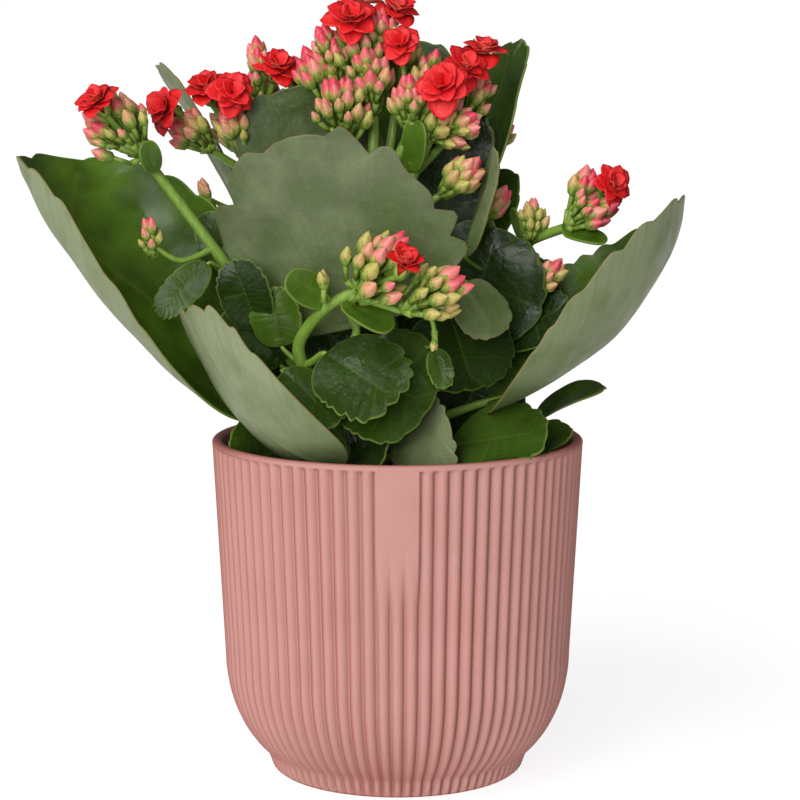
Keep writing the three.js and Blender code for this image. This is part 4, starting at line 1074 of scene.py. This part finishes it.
# %% Chance in a head
# How far chance lowers a bud, scales its length, and ripens it; the outer ones are younger.
CHANCES = ((-3.0, 2.0), (0.8, 1.2), (0.0, 0.6))
SHORTER_OUTSIDE = -0.3
GREENER_OUTSIDE = -0.7
jitter = []
for number, (low, high) in enumerate(CHANCES):
    unlike = add_node(tree, "ShaderNodeMath", {0: given["Seed"], 1: number}, operation="ADD")
    inputs = {2: low, 3: high, "Seed": unlike}
    jitter.append(add_node(tree, "FunctionNodeRandomValue", inputs, output=1, data_type="FLOAT"))
low_by, growth, ripe_by = jitter
sag = add_node(tree, "ShaderNodeMath", {0: share, 1: given["Dome"]}, operation="MULTIPLY")
sag = add_node(tree, "ShaderNodeMath", {0: low_by, 1: MM, 2: sag}, operation="MULTIPLY_ADD")
down = add_node(tree, "ShaderNodeCombineXYZ", {2: sag})
tip = add_node(tree, "ShaderNodeVectorMath", {0: spread, 3: given["Radius"]}, operation="SCALE")
tip = add_node(tree, "ShaderNodeVectorMath", {0: tip, 1: down}, operation="SUBTRACT")
lean = add_node(tree, "ShaderNodeVectorMath", {0: spread, 3: BUD_SPLAY}, operation="SCALE")
lean = add_node(tree, "ShaderNodeVectorMath", {0: lean, 1: (0, 0, 1)}, operation="ADD")
lean = add_node(tree, "ShaderNodeVectorMath", {0: lean}, operation="NORMALIZE")
inputs = {0: out, 1: SHORTER_OUTSIDE, 2: growth}
grown = add_node(tree, "ShaderNodeMath", inputs, operation="MULTIPLY_ADD")
grown = add_node(tree, "ShaderNodeMath", {0: grown, 1: given["Length"]}, operation="MULTIPLY")
back = add_node(tree, "ShaderNodeVectorMath", {0: lean, 3: grown}, operation="SCALE")
foot = add_node(tree, "ShaderNodeVectorMath", {0: tip, 1: back}, operation="SUBTRACT")
ripe = add_node(tree, "ShaderNodeMath", {0: ripe_by, 1: given["Ripeness"]}, operation="ADD")
inputs = {0: out, 1: GREENER_OUTSIDE, 2: ripe}
ripe = add_node(tree, "ShaderNodeMath", inputs, operation="MULTIPLY_ADD")

# %% Buds and sepals on their points
cloud = add_node(tree, "GeometryNodePoints", {"Count": given["Buds"], "Position": foot})
inputs = {0: given["Geometry"], "Sample Position": tip}
near = add_node(tree, "GeometryNodeProximity", inputs, output=None, target_element="POINTS")
inputs = {0: near["Distance"], 1: given["Room"]}
crowded = add_node(tree, "ShaderNodeMath", inputs, operation="LESS_THAN")
crowded = add_node(tree, "ShaderNodeMath", {0: crowded, 1: near["Is Valid"]}, operation="MULTIPLY")
told = {"lean": (lean, "FLOAT_VECTOR"), "grown": (grown, "FLOAT"), "ripe": (ripe, "FLOAT")}
told["crowded"] = (crowded, "FLOAT")
for label, (value, kind) in told.items():
    inputs = {"Geometry": cloud, "Name": label, "Value": value}
    cloud = add_node(tree, "GeometryNodeStoreNamedAttribute", inputs, data_type=kind)
lean, grown, crowded = (
    add_node(tree, "GeometryNodeInputNamedAttribute", {"Name": label}, data_type=told[label][1])
    for label in ("lean", "grown", "crowded")
)
cloud = add_node(tree, "GeometryNodeDeleteGeometry", {"Geometry": cloud, "Selection": crowded})
along_lean = add_node(tree, "FunctionNodeAlignRotationToVector", {"Vector": lean}, axis="Z")
placed = {}
for label in ("Bud", "Sepals"):
    shape = add_node(tree, "GeometryNodeObjectInfo", {"Object": given[label]}, output="Geometry")
    inputs = {"Points": cloud, "Instance": shape, "Rotation": along_lean, "Scale": grown}
    placed[label] = add_node(tree, "GeometryNodeInstanceOnPoints", inputs)

# %% Forked stalks under the buds
# A rod runs from each bud down to its fork, and another from the fork to the head's neck.
TWIG_WIDTH = 1.05 * MM
BRANCH_WIDTH = 1.3 * MM
FORK_PLACE = (0.55, 0.55, 1)
FORK_DROP = 0.8
here = add_node(tree, "GeometryNodeInputPosition")
fork = add_node(tree, "ShaderNodeVectorMath", {0: here, 1: FORK_PLACE}, operation="MULTIPLY")
drop = add_node(tree, "ShaderNodeMath", {0: grown, 1: FORK_DROP}, operation="MULTIPLY")
drop = add_node(tree, "ShaderNodeCombineXYZ", {2: drop})
fork = add_node(tree, "ShaderNodeVectorMath", {0: fork, 1: drop}, operation="SUBTRACT")
bottom = add_node(tree, "ShaderNodeMath", {0: given["Depth"], 1: -1}, operation="MULTIPLY")
neck = add_node(tree, "ShaderNodeCombineXYZ", {2: bottom})
reach = add_node(tree, "GeometryNodeInputNamedAttribute", {"Name": "reach"}, data_type="FLOAT_VECTOR")
reach_length = add_node(tree, "ShaderNodeVectorMath", {0: reach}, output=1, operation="LENGTH")
rod = add_node(tree, "GeometryNodeObjectInfo", {"Object": given["Rod"]}, output="Geometry")
along_reach = add_node(tree, "FunctionNodeAlignRotationToVector", {"Vector": reach}, axis="Z")
green = [placed["Sepals"]]
for wide, start in ((TWIG_WIDTH, fork), (BRANCH_WIDTH, neck)):
    way = add_node(tree, "ShaderNodeVectorMath", {0: here, 1: start}, operation="SUBTRACT")
    inputs = {"Geometry": cloud, "Name": "reach", "Value": way}
    cloud = add_node(tree, "GeometryNodeStoreNamedAttribute", inputs, data_type="FLOAT_VECTOR")
    cloud = add_node(tree, "GeometryNodeSetPosition", {"Geometry": cloud, "Position": start})
    size = add_node(tree, "ShaderNodeCombineXYZ", {0: wide, 1: wide, 2: reach_length})
    inputs = {"Points": cloud, "Instance": rod, "Rotation": along_reach, "Scale": size}
    green.append(add_node(tree, "GeometryNodeInstanceOnPoints", inputs))
green = add_node(tree, "GeometryNodeJoinGeometry", {0: green})
inputs = {"Switch": given["Green part"], "False": placed["Bud"], "True": green}
which = add_node(tree, "GeometryNodeSwitch", inputs, input_type="GEOMETRY")
cyme_tree = end_tree(tree, which, given)

# %% Where the sprays and blooms are
# A stalk is the points it passes and its radius at both ends. A cyme is the neck it stands on, its
# crown, its radius, how many buds it shows, their size and their ripeness. A bract, a small leaf, is
# its foot, tip, width and face. A bloom is the spray and the cyme it belongs to and its flowers,
# each with its centre, its axis, its radius and how many degrees it is open.
SPRAYS = {
    "spray_left": {
        "stalks": [
            ([(-61.5, -27, 192.7), (-68, -28, 202), (-91, -30, 233)], (2.4, 1.9)),
            ([(-67, -28, 200), (-78, -34, 196), (-88, -37, 202)], (1.3, 0.9)),
        ],
        "cymes": [
            ((-91, -30, 233), (-110, -34, 255), 13, 16, 1, 0.6),
            ((-88, -36, 202), (-89, -38, 211), 5, 4, 0.7, 0.3),
        ],
        "bracts": [
            ((-87, -34, 227), (-89.5, -38, 239), 8.5, (0.3, -0.9, 0.2)),
        ],
    },
    "spray_upper_left": {
        "stalks": [
            ([(-17, 21, 207), (-40, 14, 216), (-69, 2, 234)], (2.2, 1.5)),
            ([(-35, 16, 214), (-50, 10, 226), (-60, 6, 238)], (1.8, 1.4)),
            ([(-17, 20, 207), (-42, 13, 232), (-51, 8, 247)], (2, 1.4)),
            ([(-17, 20, 207), (-22, 14, 230), (-28, 10, 248)], (2.2, 1.6)),
            ([(-40, 14, 216), (-58, 2, 212), (-70, -8, 217)], (1.2, 0.8)),
            ([(-40, 14, 216), (-50, 4, 226), (-58, -3, 236)], (1.8, 1.3)),
        ],
        "cymes": [
            ((-69, 2, 234), (-84, -7, 249), 9, 8, 1, 0.5),
            ((-60, 6, 238), (-67, 3, 254), 10, 8, 1, 0.5),
            ((-51, 8, 247), (-51, 8, 266), 10, 7, 1, 0.5),
            ((-28, 10, 248), (-38, 5, 268), 9, 8, 1, 0.5),
            ((-58, -3, 236), (-63, -8, 251), 8, 7, 1, 0.35),
            ((-51, 8, 247), (-52, 3, 275), 5, 3, 1, 0.8),
            ((-70, -8, 217), (-73, -9, 223), 3, 3, 0.8, 0.4),
        ],
    },
    "spray_top": {
        "stalks": [
            ([(-10, -9, 213), (-15, -10, 226), (-20, -10, 243)], (2.4, 1.9)),
            ([(-10, -9, 213), (-9, -6, 230), (-9, -3, 247)], (2.6, 2.1)),
            ([(-10, -9, 213), (-4, 0, 230), (-1, 4, 247)], (2.2, 1.6)),
            ([(-10, -9, 213), (0, -9, 232), (5, -10, 243)], (2.2, 1.6)),
            ([(-10, -9, 214), (-17, -6, 232), (-25, -4, 250)], (2, 1.5)),
            ([(0, -9, 232), (5, -8, 242), (10, -6, 250)], (1.6, 1.3)),
        ],
        "cymes": [
            ((-20, -10, 243), (-21, -15, 262), 12, 10, 1, 0.5),
            ((-9, -3, 247), (-18, -3, 284), 14, 13, 1, 0.65),
            ((-1, 4, 247), (3, 3, 280), 10, 8, 1, 0.5),
            ((5, -10, 243), (5, -15, 262), 9, 8, 1, 0.5),
            ((-25, -4, 250), (-33, -3, 272), 10, 8, 1, 0.7),
            ((-9, -4, 247), (-11, -12, 273), 10, 8, 1, 0.6),
            ((10, -6, 250), (14, -6, 271), 9, 6, 1, 0.5),
            ((-22, -2, 252), (-27, -7, 279), 8, 6, 1, 0.8),
            ((-6, 0, 252), (-6, -4, 286), 8, 6, 1, 0.5),
        ],
    },
    "spray_top_right": {
        "stalks": [
            ([(-6, -10, 208), (5, -8, 224), (13, -6, 242)], (2.4, 1.8)),
            ([(4, -8, 224), (16, 0, 236), (25, 4, 247)], (1.8, 1.4)),
            ([(-3, -9, 212), (8, -14, 214), (18, -13, 220)], (1.7, 1.2)),
        ],
        "cymes": [
            ((13, -6, 242), (19, -8, 258), 10, 8, 1, 0.5),
            ((13, -6, 240), (29, -18, 246), 9, 8, 1, 0.4),
            ((25, 4, 247), (33, 4, 263), 8, 6, 1, 0.5),
            ((18, -13, 220), (30, -17, 231), 8, 7, 1, 0.4),
        ],
        "bracts": [
            ((5, -10, 226), (7, -15, 246), 11, (-0.4, -0.8, 0.3)),
        ],
    },
    "spray_right": {
        "stalks": [
            ([(40, 10, 191), (49, 4, 200), (62, -6, 206)], (2.4, 1.8)),
            ([(49, 4, 199), (50, 1, 202), (50, 0, 205)], (1.3, 1.1)),
            ([(40, 9, 192), (37, 7, 202), (34, 4, 210)], (1.5, 1.1)),
            ([(49, 4, 199), (54, -3, 190), (56, -5, 185)], (1.4, 1.1)),
        ],
        "cymes": [
            ((62, -6, 206), (75, -8, 228), 9, 7, 1, 0.7),
            ((62, -6, 206), (80, -12, 218), 9, 8, 1, 0.7),
            ((50, 0, 204), (51, -2, 216), 7, 6, 0.8, 0.2),
            ((34, 4, 210), (41, 2, 219), 5, 4, 1, 0.5),
            ((55, -5, 186), (62, -9, 193), 6, 4, 1, 0.4),
        ],
        "bracts": [
            ((61, -6, 205), (77, -14, 202), 9, (0, -0.6, 0.8)),
            ((47, 4, 200), (43, 2, 213), 6, (-0.8, -0.5, 0.3)),
        ],
    },
    "spray_front": {
        "stalks": [
            ([(-34.5, -38.5, 159), (-35, -41, 168), (-26, -48, 180), (-14, -52, 187)], (2.6, 1.9)),
            ([(-18, -51, 185), (-8, -55, 183), (1, -56, 180)], (1.6, 1.2)),
            ([(-23, -48, 182), (-26, -52, 186), (-26, -54, 188)], (1, 0.9)),
            ([(6, -57, 184), (12, -57, 177), (13, -57, 171)], (0.9, 0.8)),
        ],
        "cymes": [
            ((-14, -52, 187), (2, -62, 206), 14, 10, 1.1, 0.5),
            ((1, -56, 180), (24, -64, 192), 12, 8, 1.1, 0.2),
            ((-26, -54, 187), (-26, -55, 194), 3, 1, 0.7, 0.3),
            ((13, -57, 171), (13, -60, 164), 2, 1, 0.6, 0.1),
        ],
        "bracts": [
            ((-24, -48, 182), (-39, -52, 192), 13, (-0.4, -0.7, 0.5)),
            ((-20, -50, 184), (-2, -58, 174), 13, (0.2, -0.7, 0.7)),
        ],
    },
    "spray_back": {
        "stalks": [
            ([(16, 61, 181), (14, 60, 205), (8, 57, 232)], (2.4, 1.7)),
            ([(14, 60, 205), (26, 60, 220), (36, 56, 236)], (1.8, 1.4)),
            ([(15, 60, 200), (-6, 62, 216), (-24, 58, 234)], (1.8, 1.4)),
        ],
        "cymes": [
            ((8, 57, 232), (4, 58, 252), 12, 9, 1, 0.5),
            ((36, 56, 236), (43, 58, 251), 10, 7, 1, 0.5),
            ((-24, 58, 234), (-32, 60, 250), 10, 7, 1, 0.5),
        ],
    },
}
BLOOMS = {
    "bloom_left": ("spray_left", 0, [((-105.5, -42, 252.5), (-0.35, -0.5, 0.75), 9.5, 82)]),
    "bloom_left_side": ("spray_upper_left", 0, [((-84, -10, 250), (-0.7, -0.65, 0.3), 11, 82)]),
    "bloom_upper_left": ("spray_upper_left", 1, [
        ((-70, -4, 256), (-0.2, -0.5, 0.8), 11, 82), ((-61, -10, 255), (0.2, -0.8, 0.5), 11, 82),
    ]),
    "bloom_upper_middle": ("spray_upper_left", 2, [((-45, 2, 264), (0.2, -0.6, 0.8), 11, 82)]),
    "bloom_top": ("spray_top", 1, [((-17, -10, 281), (0, -0.7, 0.7), 12, 82)]),
    "bloom_top_left": ("spray_top", 1, [((-15, 8, 288), (0, 0.1, 1), 11, 82)]),
    "bloom_top_right": ("spray_top", 2, [((-1, 3, 285), (0.3, -0.4, 0.8), 11, 82)]),
    "bloom_centre": ("spray_top", 3, [((1, -9, 273), (-0.1, -0.9, 0.5), 9, 82)]),
    "bloom_right": ("spray_top_right", 0, [
        ((17, -17, 258), (-0.2, -0.9, 0.4), 12, 82), ((24, -9, 264), (0.4, -0.6, 0.7), 11, 82),
    ]),
    "bloom_right_upper": ("spray_top_right", 2, [((32, 1, 270), (0.1, -0.3, 0.95), 10, 82)]),
    "bloom_right_side": ("spray_right", 0, [((78, -12, 222), (0.5, -0.75, 0.35), 10, 82)]),
    "bloom_front": ("spray_front", 0, [((2, -67, 197), (0.3, -0.5, 0.8), 9, 48)]),
    "bloom_back": ("spray_back", 0, [((4, 66, 256), (0, 0.6, 0.8), 11, 82)]),
}

# %% Growing the sprays
BUD_LENGTH = 9.4
# The table counts the buds that show, roughly. This factor was chosen so that heads look full.
BUSHIER = 2.4
HEAD_DOME = 1.1
FLOWER_ROOM = 0.5
SEPAL_SHARE = 0.95
TUBE_LENGTH = 5
NEAR_TOP = 4
ROOTED_SHARE = 0.2
copied = {"Bud": bud_shape, "Sepals": sepal_shape, "Rod": rod_shape}


def facing(place, axis):
    """The matrix that carries a shape grown along +Z from the origin to `place`, growing along `axis`."""
    turned = Vector(axis).to_track_quat("Z", "Y").to_matrix().to_4x4()
    return Matrix.Translation(Vector(place) * MM) @ turned


def tube_end(centre, axis):
    return Vector(centre) - Vector(axis).normalized() * TUBE_LENGTH


def cyme_meshes(cyme, flowers, seed):
    """The buds of one head, with room left for open flowers, and its sepals and stalks."""
    neck, crown, radius, count, size, ripeness = cyme
    stand = Vector(crown) - Vector(neck)
    matrix = facing(crown, stand)
    hearts = bpy.data.meshes.new("hearts")
    hearts.from_pydata([matrix.inverted() @ (Vector(centre) * MM) for centre, *_ in flowers], [], [])
    room = FLOWER_ROOM * max([flower[2] for flower in flowers], default=0)
    values = {"Buds": max(round(count * BUSHIER), 2), "Radius": radius * MM, "Ripeness": ripeness}
    values |= {"Dome": HEAD_DOME * radius * MM, "Length": BUD_LENGTH * size * MM, "Room": room * MM}
    values |= {"Depth": stand.length * MM, "Seed": seed}
    parts = {"Green part": False, "Material": bud_skin}, {"Green part": True, "Material": sepal_skin}
    return [moved(grow(cyme_tree, values | copied | part, hearts), matrix) for part in parts]


def rooted(points):
    """Carries a stalk that starts at a stem's top down into that stem, so that no gap shows."""
    for path, _ in STEMS.values():
        top, below = (Vector(point) for point in path[:-3:-1])
        if (Vector(points[0]) - top).length < NEAR_TOP:
            return [tuple(top.lerp(below, ROOTED_SHARE)), *points]
    return points


for order, (name, spray) in enumerate(SPRAYS.items()):
    blooms = [(cyme, flowers) for home, cyme, flowers in BLOOMS.values() if home == name]
    flowers = [flower for _, group in blooms for flower in group]
    necks = [spray["cymes"][cyme][0] for cyme, group in blooms for _ in group]
    green = [tube_mesh(rooted(points), radii) for points, radii in spray["stalks"]]
    buds = []
    for number, cyme in enumerate(spray["cymes"]):
        bud_part, green_part = cyme_meshes(cyme, flowers, 10 * order + number)
        buds.append(bud_part)
        green.append(green_part)
    for neck, (centre, axis, *_) in zip(necks, flowers):
        end = tube_end(centre, axis)
        green.append(tube_mesh([neck, tuple(end)], (1.0, 1.2), sides=8, step=2.0))
        sepals = sepal_shape.data.copy()
        sepals.materials.append(sepal_skin)
        sepals.shade_smooth()
        size = Matrix.Scale(SEPAL_SHARE * BUD_LENGTH * MM, 4)
        green.append(moved(sepals, facing(end, axis) @ size))
    place_piece(name + "_buds", buds, name)
    place_piece(name + "_stalks", green, name)
    for number, bract in enumerate(spray.get("bracts", [])):
        blade = leaf(*bract, 0.6, teeth=5, tooth_depth=0.0, neck=0.05, wave=0.02, thickness=1.3)
        mesh = leaf_mesh(f"{name} bract {number}", blade)
        place_piece(f"{name}_bract_{number + 1}", [mesh], name)
print("sprays:", len(SPRAYS))

# %% [markdown]
# ## Double flowers
# An open flower of this kind is double: many pointed petals in a spiral, the outermost lying flat
# and the innermost still standing. The tree turns each petal from the last by the golden angle,
# stands it up a little more and makes it a little smaller.

# %% The flower tree
# How far chance turns, tilts and scales a petal.
CHANCES = ((-0.25, 0.25), (-0.18, 0.18), (0.85, 1.08))
SMALLER_INSIDE = -0.45
HEART_RISE = 0.15
tree, given = start_tree(
    "double flower", Int=["Petals", "Seed"], Float=["Radius", "Outer tilt", "Inner tilt"], Object=["Petal"]
)
index = add_node(tree, "GeometryNodeInputIndex")
share = add_node(tree, "ShaderNodeMath", {0: index, 1: given["Petals"]}, operation="DIVIDE")
jitter = []
for number, (low, high) in enumerate(CHANCES):
    unlike = add_node(tree, "ShaderNodeMath", {0: given["Seed"], 1: number}, operation="ADD")
    inputs = {2: low, 3: high, "Seed": unlike}
    jitter.append(add_node(tree, "FunctionNodeRandomValue", inputs, output=1, data_type="FLOAT"))
turn_by, tilt_by, size_by = jitter
inputs = {0: index, 1: GOLDEN_ANGLE, 2: turn_by}
turn = add_node(tree, "ShaderNodeMath", inputs, operation="MULTIPLY_ADD")
inputs = {0: share, 3: given["Outer tilt"], 4: given["Inner tilt"]}
rising = add_node(tree, "ShaderNodeMapRange", inputs)
tilt = add_node(tree, "ShaderNodeMath", {0: rising, 1: tilt_by}, operation="ADD")
inputs = {0: share, 1: SMALLER_INSIDE, 2: 1.0}
size = add_node(tree, "ShaderNodeMath", inputs, operation="MULTIPLY_ADD")
for factor in (given["Radius"], size_by):
    size = add_node(tree, "ShaderNodeMath", {0: size, 1: factor}, operation="MULTIPLY")
rise = share
for factor in (given["Radius"], HEART_RISE):
    rise = add_node(tree, "ShaderNodeMath", {0: rise, 1: factor}, operation="MULTIPLY")
heart = add_node(tree, "ShaderNodeCombineXYZ", {2: rise})
points = add_node(tree, "GeometryNodePoints", {"Count": given["Petals"], "Position": heart})
angles = add_node(tree, "ShaderNodeCombineXYZ", {0: tilt, 2: turn})
angles = add_node(tree, "FunctionNodeEulerToRotation", {0: angles})
shape = add_node(tree, "GeometryNodeObjectInfo", {"Object": given["Petal"]}, output="Geometry")
inputs = {"Points": points, "Instance": shape, "Rotation": angles, "Scale": size}
flower_tree = end_tree(tree, add_node(tree, "GeometryNodeInstanceOnPoints", inputs), given)

# %% Opening the flowers
PETAL_COUNT = 16
INNER_TILT = math.radians(12)
for number, (name, (_, _, flowers)) in enumerate(BLOOMS.items()):
    parts = []
    for each, (centre, axis, radius, opened) in enumerate(flowers):
        values = {"Petals": PETAL_COUNT, "Radius": radius * MM, "Seed": 7 * number + each}
        values |= {"Outer tilt": math.radians(opened), "Inner tilt": INNER_TILT}
        values |= {"Petal": petal_shape, "Material": petal_skin}
        parts.append(moved(grow(flower_tree, values), facing(centre, axis)))
        way = [tuple(tube_end(centre, axis)), centre]
        parts.append(tube_mesh(way, (1.3, 2.2), sides=10, step=1.0, material=petal_skin))
    place_piece(name + "_petals", parts, name)
print("blooms:", len(BLOOMS))

# %% [markdown]
# ## Finish
# The shapes that the trees copied are let go.

# %% Finish
for shape in shapes:
    bpy.data.objects.remove(shape)
